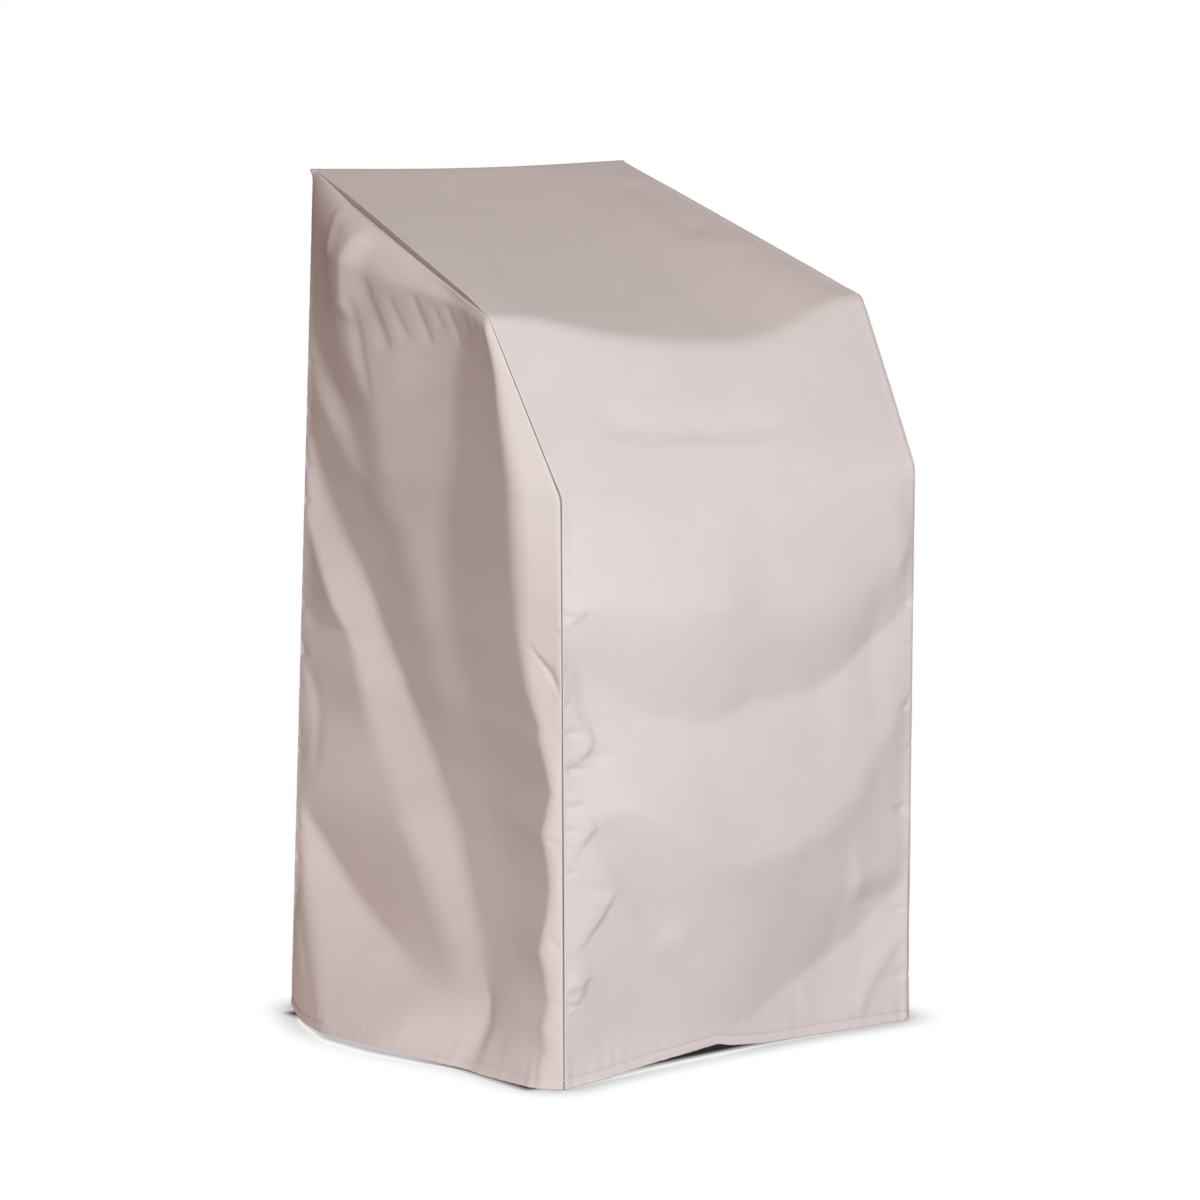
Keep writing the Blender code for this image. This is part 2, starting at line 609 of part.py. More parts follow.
def sheet_solid(name, outer, inner, colour):
    """A closed sheet between two grids of points, as an object with its own material."""
    rows, columns = outer.shape[:2]
    mesh = bpy.data.meshes.new(name)
    body = bmesh.new()
    faces = [[body.verts.new(point) for point in grid.reshape(-1, 3)] for grid in (outer, inner)]

    def quad(side, i, j):
        corners = ((i, j), (i, j + 1), (i + 1, j + 1), (i + 1, j))
        return [faces[side][r * columns + c] for r, c in corners]

    for i in range(rows - 1):
        for j in range(columns - 1):
            body.faces.new(quad(0, i, j))
            body.faces.new(quad(1, i, j)[::-1])
    rim = [(0, j) for j in range(columns - 1)]
    rim += [(i, columns - 1) for i in range(rows - 1)]
    rim += [(rows - 1, j) for j in range(columns - 1, 0, -1)]
    rim += [(i, 0) for i in range(rows - 1, 0, -1)]
    for here, after in zip(rim, rim[1:] + rim[:1]):
        a = here[0] * columns + here[1]
        b = after[0] * columns + after[1]
        body.faces.new([faces[0][a], faces[1][a], faces[1][b], faces[0][b]])
    bmesh.ops.recalc_face_normals(body, faces=body.faces)
    bmesh.ops.triangulate(body, faces=body.faces)
    body.to_mesh(mesh)
    body.free()
    mesh.shade_smooth()

    material = bpy.data.materials.new(name + " cloth")
    material.use_nodes = True
    shader = material.node_tree.nodes["Principled BSDF"]
    shader.inputs["Base Color"].default_value = colour
    shader.inputs["Roughness"].default_value = CLOTH_ROUGHNESS
    shader.inputs["Metallic"].default_value = 0.0
    mesh.materials.append(material)
    piece = bpy.data.objects.new(name, mesh)
    bpy.context.scene.collection.objects.link(piece)
    return piece


def clear_scene():
    for old in list(bpy.data.objects):
        bpy.data.objects.remove(old, do_unlink=True)


def build_cover():
    """Make the three pieces, mitred against each other along the seams."""
    strip = strip_surface()
    panels = {
        -1: side_surface(-1, LEFT_LINES, LEFT_SWELL, LEFT_HEM),
        +1: side_surface(+1, RIGHT_LINES, RIGHT_SWELL, RIGHT_HEM),
    }
    centre = strip.mean(axis=(0, 1))

    def inward(grid):
        normal = surface_normals(grid)
        facing = np.sign(np.sum(normal * (centre - grid), axis=-1).mean())
        return normal * facing

    strip_in = inward(strip)
    strip_inner = strip + strip_in * CLOTH_THICKNESS
    for sign, panel in panels.items():
        column = 0 if sign < 0 else COLUMNS
        panel_in = inward(panel)
        panel_inner = panel + panel_in * CLOTH_THICKNESS
        edge_in = panel_edge(panel_in)
        both = strip_in[:, column] + edge_in
        meet = 1.0 + np.sum(strip_in[:, column] * edge_in, axis=-1, keepdims=True)
        mitre = strip[:, column] + CLOTH_THICKNESS * both / meet

        # Both pieces draw back from the mitre by half the gap, each into its own face.
        apart = strip_in[:, column] - edge_in
        apart *= SEAM_GAP / 2.0 / np.linalg.norm(apart, axis=-1, keepdims=True)
        seam = strip[:, column].copy()
        strip[:, column] = seam - apart
        strip_inner[:, column] = mitre - apart
        set_panel_edge(panel, seam + apart)
        set_panel_edge(panel_inner, mitre + apart)
        name = "side_panel_left" if sign < 0 else "side_panel_right"
        sheet_solid(name, panel, panel_inner, CLOTH_COLOUR)
    sheet_solid("centre_strip", strip, strip_inner, CLOTH_COLOUR)


clear_scene()
build_cover()
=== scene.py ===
# %% [markdown]
# # A stacking chair cover
# This fitted cloth cover stands over a stack of garden chairs. It is three pieces of
# coated polyester: one long centre strip, up the back, over the top and down the front,
# and two side panels. Every piece here is a surface worked out with numpy and laid on
# the folds of its CAD solid, then given its real thinness with Solidify.

# %% Load the frame
from collections import namedtuple

import bpy
import numpy as np
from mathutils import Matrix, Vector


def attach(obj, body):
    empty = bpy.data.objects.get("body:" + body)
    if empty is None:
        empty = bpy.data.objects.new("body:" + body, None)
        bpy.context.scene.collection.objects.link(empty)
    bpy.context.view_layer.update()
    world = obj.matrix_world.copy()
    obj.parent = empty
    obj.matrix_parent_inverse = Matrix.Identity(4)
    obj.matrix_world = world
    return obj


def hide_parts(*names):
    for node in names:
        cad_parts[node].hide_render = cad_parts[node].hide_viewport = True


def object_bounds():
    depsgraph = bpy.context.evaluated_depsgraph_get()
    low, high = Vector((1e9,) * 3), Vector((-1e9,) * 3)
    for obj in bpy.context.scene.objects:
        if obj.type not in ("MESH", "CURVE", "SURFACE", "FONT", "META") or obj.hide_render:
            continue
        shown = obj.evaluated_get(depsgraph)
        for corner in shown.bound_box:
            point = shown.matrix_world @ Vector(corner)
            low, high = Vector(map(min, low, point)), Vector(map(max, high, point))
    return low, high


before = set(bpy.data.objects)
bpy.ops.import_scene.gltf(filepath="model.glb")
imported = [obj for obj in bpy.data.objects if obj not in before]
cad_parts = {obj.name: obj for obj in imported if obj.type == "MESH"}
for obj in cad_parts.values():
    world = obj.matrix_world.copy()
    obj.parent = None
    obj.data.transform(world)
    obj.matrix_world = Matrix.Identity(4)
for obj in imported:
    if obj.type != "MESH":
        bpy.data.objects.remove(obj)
cad_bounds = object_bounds()
print("box of the frame:", [[round(v, 3) for v in corner] for corner in cad_bounds])

# %% [markdown]
# ## The camera
# A long lens a good way off keeps the tall box shape from looking bent. It looks at the
# front left edge from a little above the cover's middle.

# %% Camera
CAMERA_AZIMUTH = np.radians(-39.03)
CAMERA_ELEVATION = np.radians(7.95)
CAMERA_DISTANCE = 5.976
CAMERA_LENS = 125.8
CAMERA_AIM = np.array((0.0236, 0.0375, 0.5929))


def add_camera():
    """Put the camera on a sphere about its aim: azimuth from the front, then elevation."""
    level = np.cos(CAMERA_ELEVATION)
    away = np.array((
        np.sin(CAMERA_AZIMUTH) * level,
        -np.cos(CAMERA_AZIMUTH) * level,
        np.sin(CAMERA_ELEVATION),
    ))
    camera = bpy.data.objects.new("camera", bpy.data.cameras.new("camera"))
    camera.data.lens = CAMERA_LENS
    camera.location = CAMERA_AIM + away * CAMERA_DISTANCE
    camera.rotation_euler = (np.pi / 2.0 - CAMERA_ELEVATION, 0.0, CAMERA_AZIMUTH)
    bpy.context.collection.objects.link(camera)
    bpy.context.scene.camera = camera
    return camera


camera = add_camera()
print("camera at", [round(v, 3) for v in camera.location])

# %% [markdown]
# ## The pattern
# A maker cuts the cover from a few sizes: the heights of its bends, its depth, and the
# width between the seams at each bend. The seam on each side is then one path through
# five corners. Its length runs from the back hem, over the top, to the front hem.

# %% Sizes of the pattern
COVER_DEPTH = 0.608
FRONT_Y = -0.302
BACK_Y = FRONT_Y + COVER_DEPTH
SLOPE_DEPTH = 0.133
BACK_FLARE = 0.026
TOP_HEIGHT = 1.206

Corner = namedtuple("Corner", "half_width y z")
SEAM_CORNERS = (
    Corner(0.315, BACK_Y + BACK_FLARE, 0.000),
    Corner(0.280, BACK_Y, TOP_HEIGHT),
    Corner(0.334, FRONT_Y + SLOPE_DEPTH, 1.025),
    Corner(0.317, FRONT_Y, 0.793),
    Corner(0.313, FRONT_Y, 0.000),
)
corner_points = np.array(SEAM_CORNERS)
corner_runs = np.concatenate([
    [0.0],
    np.cumsum(np.linalg.norm(np.diff(corner_points[:, 1:], axis=0), axis=1)),
])
print("cloth along the seam, m:", corner_runs.round(3))

# %% [markdown]
# Each bend is a length of cloth that rounds off. It is short at the seams, where the
# seam allowance stiffens the cloth, and long in the middle, where the cloth is slack.

# %% Path of the seam and of the cloth between the seams
Bend = namedtuple("Bend", "at_seam in_middle")
BENDS = (Bend(0.006, 0.022), Bend(0.010, 0.020), Bend(0.008, 0.080))


def smooth(x):
    """Ease from 0 to 1 as x runs from 0 to 1."""
    x = np.clip(x, 0.0, 1.0)
    return x * x * (3.0 - 2.0 * x)


def cloth_path(runs, middle, slip=0.0):
    """Half width, y and z at each run, as straight stretches with rounded bends.

    The path is the first corner plus, for each stretch, the way along it times the
    share of it already passed. Within a length L of a bend it leaves the corner by
    (L - distance)^2 / 4L times the change of direction there. `middle` is 0 at a seam
    and 1 halfway across. `slip` moves the front edge of the top down the slope.
    """
    # `0.0 * slip` only gives every corner the shape of the grid.
    ends = [corner_runs[i] + (slip if i == 2 else 0.0 * slip) for i in range(5)]
    corners = [np.multiply.outer(np.ones_like(slip), point) for point in corner_points]
    down = (corner_points[3] - corner_points[2]) / (corner_runs[3] - corner_runs[2])
    corners[2] = corners[2] + np.multiply.outer(slip, down)
    ways = [(corners[i + 1] - corners[i]) / (ends[i + 1] - ends[i])[..., None] for i in range(4)]
    path = corners[0] + 0.0 * runs[..., None]
    for i, way in enumerate(ways):
        passed = np.clip(runs - ends[i], 0.0, ends[i + 1] - ends[i])
        path = path + passed[..., None] * way
    for i, bend in enumerate(BENDS, start=1):
        blend = bend.at_seam + (bend.in_middle - bend.at_seam) * middle
        reach = np.clip(blend - np.abs(runs - ends[i]), 0.0, None)
        path = path + (reach**2 / (4.0 * blend))[..., None] * (ways[i] - ways[i - 1])
    return path


print("bend at the foot of the slope, m: seam", BENDS[2].at_seam, "middle", BENDS[2].in_middle)

# %% [markdown]
# ## Tables of folds
# No formula gives the folds of slack cloth, so each one is measured and listed in a row.
# Rows are easier to read in millimetres, as on a tape, so one helper turns a table into
# metres. A slant or a crispness is a ratio, and stays as it is.

# %% Tables in millimetres
MM_PER_M = 1000.0
RATIOS = ("slant", "crisp")


def table(kind, *rows):
    """Rows of one kind: every number is divided by 1000, except the ratios."""
    units = np.array([1.0 if name in RATIOS else MM_PER_M for name in kind._fields])
    return tuple(kind(*row) for row in (np.array(rows) / units).tolist())


def column(rows, name):
    """One column of a table, as a list."""
    return [getattr(row, name) for row in rows]


Stop = namedtuple("Stop", "at place out soft")
print("a row in metres:", table(Stop, (300, 260, -22, 16)))

# %% [markdown]
# ## Long folds
# The cover's long folds run from seam to seam or from seam to hem. Each is one line on
# the cloth, a crest or a valley. A cross-section through the cloth is then a chain of
# nearly straight pieces from one line to the next, with each corner rounded off: a few
# millimetres for a crease, a few centimetres for a soft fold. A line is a short table:
# where along the piece, its place across, how far it stands out, and its rounding.

# %% A cross-section through fold lines
LEAST_STEP = 0.002
LEAST_SOFT = 0.001


def eased(x, xs, ys):
    """A curve through a short table: cubic pieces whose slopes never overshoot."""
    xs, ys = np.asarray(xs, float), np.asarray(ys, float)
    steps = np.diff(ys) / np.diff(xs)
    same_way = steps[1:] * steps[:-1] > 0.0
    bend = np.zeros(len(steps) - 1)
    bend[same_way] = 2.0 * (steps[1:] * steps[:-1])[same_way] / (steps[1:] + steps[:-1])[same_way]
    slopes = np.concatenate([steps[:1], bend, steps[-1:]])
    x = np.clip(x, xs[0], xs[-1])
    i = np.clip(np.searchsorted(xs, x, side="right") - 1, 0, len(xs) - 2)
    span = xs[i + 1] - xs[i]
    t = (x - xs[i]) / span
    return (
        ys[i] * (1.0 + 2.0 * t) * (1.0 - t) ** 2
        + slopes[i] * span * t * (1.0 - t) ** 2
        + ys[i + 1] * t**2 * (3.0 - 2.0 * t)
        + slopes[i + 1] * span * t**2 * (t - 1.0)
    )


def rounded_ramp(x, soft):
    """0 before x = 0 and x after it, with the corner rounded over `soft` each way."""
    near = (x + soft) ** 2 / (4.0 * soft)
    return np.where(np.abs(x) < soft, near, np.clip(x, 0.0, None))


def folded_section(place, at, lines, start, end, start_out, end_out):
    """How far the cloth stands out at `place`, in the cross-section at `at`.

    The section is a chain of straight pieces through every fold line. It is summed
    as the first slope, plus the change of slope at each line times a rounded ramp.
    A line in ZIGZAGS runs straight from stop to stop; every other line is a curve.
    """
    places, outs, softs = [start], [start_out], []
    for k, line in enumerate(lines):
        between = np.interp if line in ZIGZAGS else eased
        ats = column(line, "at")
        here = between(at, ats, column(line, "place"))
        last = end - LEAST_STEP * (len(lines) - k)
        places.append(np.clip(here, places[-1] + LEAST_STEP, last))
        outs.append(between(at, ats, column(line, "out")))
        softs.append(between(at, ats, column(line, "soft")))
    places.append(end)
    outs.append(end_out)
    slope = (outs[1] - outs[0]) / (places[1] - places[0])
    out = outs[0] + slope * (place - start)
    for k, soft in enumerate(softs, start=1):
        after = (outs[k + 1] - outs[k]) / (places[k + 1] - places[k])
        soft = np.minimum(soft, np.minimum(places[k] - start, end - places[k]))
        soft = np.maximum(soft, LEAST_SOFT)
        out = out + (after - slope) * rounded_ramp(place - places[k], soft)
        slope = after
    return out


print("halfway up a ramp rounded over 10 mm:", rounded_ramp(np.array([0.0]), 0.010))

# %% [markdown]
# ## Short folds
# Shorter folds die out inside a piece. Each is a ridge or a trough along a line, with
# flanks that flatten out: a wave when it is soft, two flanks in a crease when crisp.

# %% Ridges and troughs
CREASE_ROUNDING = 0.05
# A fold fades out over this share of its length, on both sides of each end.
FADE = 0.12
BOW_BEYOND_ENDS = -0.3
Fold = namedtuple("Fold", "from_a from_b to_a to_b bow wide_l wide_r rise crisp")


def short_folds(a, b, folds):
    """Height of the short folds at the points (a, b).

    `share` is the way from the fold's line to the end of its flank. The height goes
    from `rise` to 0 over it: as half a cosine when soft, as (1 - share)^2 when crisp.
    """
    relief = np.zeros_like(a)
    for fold in folds:
        run_a = fold.to_a - fold.from_a
        run_b = fold.to_b - fold.from_b
        length = np.hypot(run_a, run_b)
        da = a - fold.from_a
        db = b - fold.from_b
        along = (da * run_a + db * run_b) / length**2
        bowed = fold.bow * 4.0 * np.maximum(along * (1.0 - along), BOW_BEYOND_ENDS)
        across = (db * run_a - da * run_b) / length - bowed
        width = np.where(across > 0.0, fold.wide_l, fold.wide_r)
        share = np.sqrt((across / width) ** 2 + CREASE_ROUNDING**2) - CREASE_ROUNDING
        share = np.clip(share, 0.0, 1.0)
        soft = 0.5 + 0.5 * np.cos(np.pi * share)
        sharp = (1.0 - share) ** 2
        profile = (1.0 - fold.crisp) * soft + fold.crisp * sharp
        ends = smooth((along + FADE) / (2.0 * FADE)) * smooth((1.0 + FADE - along) / (2.0 * FADE))
        relief += fold.rise * profile * ends
    return relief


one_fold = table(Fold, (0, 0, 100, 0, 0, 20, 20, 4, 0.5))
print("a 4 mm fold, 5 mm off its line:", short_folds(np.array([0.05]), np.array([0.005]), one_fold))

# %% [markdown]
# Where folds meet, the cloth makes a small pocket: flat facets that meet at one deepest
# point. A pyramid turned inwards gives that with very few numbers, its corners and its
# tip. The tip lies close to the side that has to look crisp.

# %% Pockets
Pocket = namedtuple("Pocket", "rise tip corners")
POCKET_EASE = 0.75


def pockets(a, b, places):
    """Height of pyramids: each is the lowest of the ramps from its edges to its tip.

    A ramp is 0 on its edge and 1 at the tip, and its ends are eased a little.
    """
    relief = np.zeros_like(a)
    for rise, tip, corners in places:
        tip_a, tip_b = np.array(tip) / MM_PER_M
        corners = np.array(corners) / MM_PER_M
        share = np.ones_like(a)
        for (a0, b0), (a1, b1) in zip(corners, np.roll(corners, -1, axis=0)):
            ramp = (a1 - a0) * (b - b0) - (b1 - b0) * (a - a0)
            at_tip = (a1 - a0) * (tip_b - b0) - (b1 - b0) * (tip_a - a0)
            share = np.minimum(share, ramp / at_tip)
        relief += rise / MM_PER_M * smooth(share) ** POCKET_EASE
    return relief


print("pockets keep their sides flat with a power of", POCKET_EASE)

# %% [markdown]
# ## Folds of the left panel
# Places are distances back from the front face, and `at` is the height above the floor.
# The first line is the crest where the panel turns the corner to the front; behind it
# the panel falls back as one flat facet. The crisp long valley starts at the back seam,
# two thirds of the way up, and runs down to the front corner of the hem.

# %% Fold lines of the left panel
LEFT_CREST = table(
    Stop,
    (0, 30, 25, 12), (50, 17, 15, 9), (82, 20, 18, 9), (117, 14, 13, 8), (155, 18, 16, 10),
    (183, 24, 21, 10), (215, 19, 17, 9), (235, 16, 14, 8), (270, 12, 11, 8), (305, 14, 13, 9),
    (345, 20, 18, 9), (370, 16, 14, 8), (400, 11, 10, 7), (430, 16, 13, 8), (470, 25, 18, 9),
    (490, 27, 18, 8), (535, 44, 24, 9), (612, 56, 30, 13), (650, 56, 32, 16), (700, 55, 36, 20),
    (750, 53, 40, 20), (800, 55, 41, 18), (850, 70, 35, 14), (900, 88, 27, 11),
    (950, 106, 16, 8), (1000, 127, 8, 6), (1030, 138, 2, 4),
)
LEFT_HOLLOW = table(
    Stop,
    (0, 85, 32, 30), (50, 90, 20, 30), (100, 95, 9, 30), (150, 100, 3, 30), (200, 105, 0, 30),
    (250, 125, -7, 30), (300, 150, -11, 30), (350, 178, -17, 30), (400, 191, -21, 30),
    (450, 208, -14, 30), (500, 224, -6, 30), (550, 246, -6, 30), (600, 255, 0, 28),
    (650, 262, 0, 26), (700, 265, 1, 24), (750, 258, 6, 24), (800, 240, 12, 22),
    (850, 232, 10, 18), (900, 236, 3, 16), (950, 236, -4, 16), (1000, 215, -9, 16),
    (1050, 220, -6, 20),
)
LEFT_SHOULDER = table(
    Stop,
    (0, 130, 35, 25), (50, 135, 13, 25), (100, 138, 1, 25), (150, 148, -4, 25),
    (200, 155, -8, 25), (250, 175, -12, 25), (300, 200, -16, 25), (350, 235, -24, 25),
    (400, 262, -29, 25), (450, 286, -21, 25), (500, 292, -8, 30), (550, 305, -6, 35),
    (600, 322, 3, 35), (650, 342, 5, 35), (700, 358, 7, 35), (750, 380, 12, 30),
    (800, 400, 20, 25), (850, 412, 20, 22), (900, 432, 18, 22), (950, 465, 18, 20),
    (1000, 480, 16, 30), (1100, 450, 20, 30),
)
LEFT_LEDGE_FRONT = table(
    Stop,
    (0, 140, 36, 20), (100, 148, -1, 20), (300, 220, -18, 30), (350, 255, -26, 25),
    (400, 285, -31, 25), (450, 310, -24, 25), (500, 320, -12, 30), (550, 340, -11, 30),
    (600, 350, -2, 30), (650, 380, -3, 30), (700, 400, -1, 30), (770, 425, 12, 22),
    (800, 448, 12, 14), (850, 490, 8, 14), (900, 541, -3, 14), (950, 584, -2, 12),
    (980, 605, 0, 10),
)
LEFT_LEDGE_BACK = table(
    Stop,
    (0, 148, 37, 20), (100, 156, -3, 20), (300, 240, -20, 30), (350, 280, -29, 25),
    (400, 310, -33, 25), (450, 335, -28, 25), (500, 350, -17, 30), (550, 370, -16, 30),
    (600, 390, -8, 30), (650, 420, -9, 30), (700, 450, -8, 30), (770, 470, 4, 20),
    (800, 490, 11, 14), (850, 533, 12, 14), (900, 582, 4, 12), (930, 606, 0, 10),
)
LEFT_LONG_VALLEY = table(
    Stop,
    (0, 165, 34, 14), (50, 162, 6, 6), (100, 172, -7, 6), (150, 196, -10, 14),
    (200, 213, -15, 16), (250, 236, -18, 16), (300, 260, -22, 16), (350, 302, -31, 14),
    (400, 340, -37, 12), (450, 370, -33, 10), (500, 396, -25, 8), (550, 434, -26, 8),
    (600, 455, -17, 8), (650, 495, -18, 10), (700, 543, -18, 14), (750, 575, -12, 14),
    (800, 596, -5, 12), (840, 610, 0, 10),
)
LEFT_BAND_EDGE = table(
    Stop,
    (0, 225, 52, 30), (50, 220, 22, 30), (100, 240, 1, 30), (150, 262, -2, 30),
    (200, 292, 0, 25), (250, 318, 3, 25), (300, 352, 6, 22), (350, 396, -6, 22),
    (400, 432, -6, 20), (450, 455, -1, 16), (500, 466, 6, 12), (540, 490, 2, 8),
    (570, 508, 8, 3), (600, 526, 14, 3), (650, 566, 8, 4), (690, 597, 2, 5), (710, 608, 0, 5),
)
LEFT_LOW_VALLEY = table(
    Stop,
    (0, 330, 77, 25), (50, 290, 40, 30), (100, 355, -2, 30), (150, 455, -20, 22),
    (200, 530, -23, 14), (250, 575, -15, 10), (290, 602, -3, 8), (330, 580, 3, 20),
    (380, 572, 5, 20), (450, 560, -4, 20), (500, 575, 1, 20), (600, 600, 0, 10),
)
LEFT_HEM_RIDGE = table(
    Stop,
    (0, 435, 84, 16), (50, 478, 64, 18), (100, 518, 44, 20), (150, 566, 22, 18),
    (200, 602, 4, 10), (250, 612, 1, 8),
)
LEFT_HEM_CORNER = table(
    Stop,
    (0, 520, 58, 20), (50, 550, 42, 20), (100, 582, 26, 18), (150, 604, 10, 14),
    (200, 616, 0, 10),
)
LEFT_LINES = (
    LEFT_CREST, LEFT_HOLLOW, LEFT_SHOULDER, LEFT_LEDGE_FRONT, LEFT_LEDGE_BACK,
    LEFT_LONG_VALLEY, LEFT_BAND_EDGE, LEFT_LOW_VALLEY, LEFT_HEM_RIDGE, LEFT_HEM_CORNER,
)
print(len(LEFT_LINES), "long fold lines on the left panel")

# %% [markdown]
# Between the long folds lie short ones: the pad of cloth that hooks round below the back
# corner, and the gathers below the top seam. The top seam is also cut a little full, so
# the panel swells out under it. A swell row says how far back, how far out, how wide.

# %% Short folds of the left panel
LEFT_FOLDS = table(
    Fold,
    # The crisp thin edge low down at the back, and a ridge over the hem.
    (608, 562, 484, 560, 2, 10, 30, -3, 0.9), (612, 130, 545, 60, -6, 10, 14, 2, 0.6),
    (170, 100, 150, 56, 2, 8, 18, -2.2, 0.8), (604, 500, 574, 360, -10, 16, 30, -2.2, 0.5),
    # The hooked fold below the back corner: a pad of cloth with a sharp front edge.
    (426, 1134, 470, 1010, 2, 82, 48, 8.8, 0.75), (500, 1165, 492, 1090, 2, 16, 26, 2.6, 0.4),
    # Gathers below the top seam: troughs that fade downwards.
    (404, 1060, 376, 966, 3, 30, 14, -2.4, 0.2), (352, 1040, 334, 985, 2, 20, 10, -1.6, 0.3),
    (300, 1042, 286, 980, 2, 18, 10, -2, 0.3), (262, 1030, 254, 998, 1, 10, 6, -1.2, 0.4),
    (232, 1030, 220, 980, 1, 14, 8, -1.8, 0.4), (196, 1028, 188, 1000, 1, 9, 6, -1.2, 0.5),
    (168, 1026, 160, 1000, 1, 8, 5, -1, 0.5), (446, 1030, 424, 900, 4, 26, 16, -2.2, 0.2),
)
LEFT_POCKETS = (
    # The leaf of shade behind the front seam, where the wrap narrows.
    Pocket(-2.8, (20, 562), ((56, 620), (50, 560), (4, 510), (10, 562))),
)
Swell = namedtuple("Swell", "back out wide")
LEFT_SWELL = table(
    Swell,
    (140, 3, 24), (180, 8, 26), (230, 13, 34), (300, 20, 46), (380, 27, 60), (480, 28, 66),
    (560, 14, 60), (610, 4, 50),
)
print(len(LEFT_FOLDS), "short folds on the left panel")

# %% [markdown]
# ## Folds of the right panel
# The other side hangs in the same way, but no two sides of a slack cover fold alike.
# This one hangs fuller, and its hem stands out most two fifths of the way back.

# %% Fold lines and short folds of the right panel
RIGHT_SWELL = table(
    Swell,
    (140, 3, 24), (240, 14, 34), (340, 22, 50), (440, 18, 60), (540, 24, 60), (610, 12, 50),
)
RIGHT_CREST = table(
    Stop,
    (0, 26, 22, 12), (70, 16, 14, 10), (130, 23, 19, 10), (165, 19, 16, 9), (225, 13, 12, 8),
    (300, 22, 18, 10), (370, 30, 22, 12), (455, 20, 16, 10), (540, 36, 21, 12),
    (640, 48, 28, 14), (760, 50, 36, 14), (830, 62, 34, 14), (900, 86, 24, 12),
    (960, 110, 14, 8), (1030, 138, 2, 4),
)
RIGHT_HOLLOW = table(
    Stop,
    (0, 120, -4, 40), (300, 170, -14, 40), (600, 225, -4, 40), (800, 235, 8, 35),
    (1000, 220, -8, 30),
)
RIGHT_SHOULDER = table(
    Stop,
    (0, 200, 4, 40), (300, 255, 4, 40), (600, 330, 10, 40), (800, 390, 18, 40),
    (1000, 430, 16, 35),
)
RIGHT_LONG_VALLEY = table(
    Stop,
    (0, 260, -16, 30), (200, 310, -24, 25), (400, 385, -26, 14), (600, 470, -20, 10),
    (780, 560, -10, 14), (900, 605, 0, 15),
)
RIGHT_BACK_RIDGE = table(
    Stop,
    (0, 400, 20, 30), (200, 450, 8, 30), (400, 515, 4, 25), (550, 565, 6, 12),
    (700, 605, 0, 12),
)
ZIGZAGS = (LEFT_CREST, RIGHT_CREST)
RIGHT_LINES = (RIGHT_CREST, RIGHT_HOLLOW, RIGHT_SHOULDER, RIGHT_LONG_VALLEY, RIGHT_BACK_RIDGE)
RIGHT_FOLDS = table(
    Fold,
    (610, 1160, 500, 1040, 6, 50, 30, 9, 0.8), (600, 1000, 420, 860, 15, 50, 40, -8, 0.6),
    (610, 330, 440, 160, -10, 50, 70, -12, 0.6), (420, 1060, 380, 930, 6, 30, 18, -5, 0.4),
    (330, 1030, 310, 950, 3, 22, 14, -3, 0.4), (540, 700, 320, 420, -20, 60, 40, 8, 0.5),
    (300, 360, 240, 60, 12, 50, 50, -8, 0.4),
)
print(len(RIGHT_LINES), "long and", len(RIGHT_FOLDS), "short folds on the right panel")

# %% [markdown]
# ## Folds of the front
# The front hangs in two swags, each a valley, a soft edge and a crest. On the centre
# strip, `at` is the distance to the right of the middle, and places are lengths of
# cloth up from the front hem.

# %% Fold lines of the strip
FRONT_LOW_VALLEY = table(
    Stop,
    (-315, 15, 0, 10), (-280, 25, -6, 12), (-220, 45, -14, 16), (-140, 46, -19, 18),
    (-60, 38, -19, 16), (-10, 26, -21, 14), (20, 34, -21, 12), (60, 55, -21, 10),
    (100, 78, -21, 9), (140, 94, -23, 9), (180, 112, -25, 10), (210, 127, -22, 10),
    (240, 146, -20, 10), (270, 168, -15, 9), (295, 188, -11, 8), (315, 205, 0, 8),
)
FRONT_LOW_STEP = table(
    Stop,
    (-315, 215, 0, 10), (-290, 215, 4, 10), (-260, 238, 5, 12), (-230, 240, 4, 14),
    (-200, 220, 1, 16), (-160, 196, -2, 18), (-100, 166, -1, 20), (0, 160, 6, 20),
    (120, 190, 2, 20), (150, 197, 1.5, 18), (180, 205, 0.5, 12), (210, 214, -1.5, 8),
    (240, 224, -4, 6), (270, 236, -5, 6), (295, 246, -5, 6), (315, 250, 0, 6),
)
FRONT_LOW_CREST = table(
    Stop,
    (-315, 360, 0, 10), (-290, 362, 6, 7), (-265, 368, 14, 4), (-225, 370, 24, 4),
    (-180, 356, 30, 5), (-140, 334, 33, 7), (-100, 312, 34, 10), (-60, 286, 33, 12),
    (-20, 272, 31, 12), (20, 276, 29, 14), (60, 280, 27, 16), (100, 292, 25, 16),
    (140, 304, 22, 20), (180, 326, 17, 22), (210, 355, 14, 24), (240, 395, 10, 22),
    (270, 430, 8, 16), (295, 458, 4, 12), (315, 480, 0, 10),
)
FRONT_HIGH_VALLEY = table(
    Stop,
    (-315, 605, 0, 6), (-295, 572, -5, 8), (-270, 546, -11, 9), (-240, 524, -10, 10),
    (-210, 505, -7, 10), (-180, 490, -3, 10), (-140, 480, 1, 10), (-100, 474, 5, 10),
    (-60, 468, 6, 10), (-30, 478, 6, 10), (10, 490, 4, 10), (60, 492, 3, 10), (100, 494, 2, 9),
    (140, 500, 0, 8), (180, 520, 1, 7), (210, 540, -1, 6), (240, 556, -4, 5), (270, 572, -3, 5),
    (295, 586, -2, 5), (315, 592, 0, 5),
)
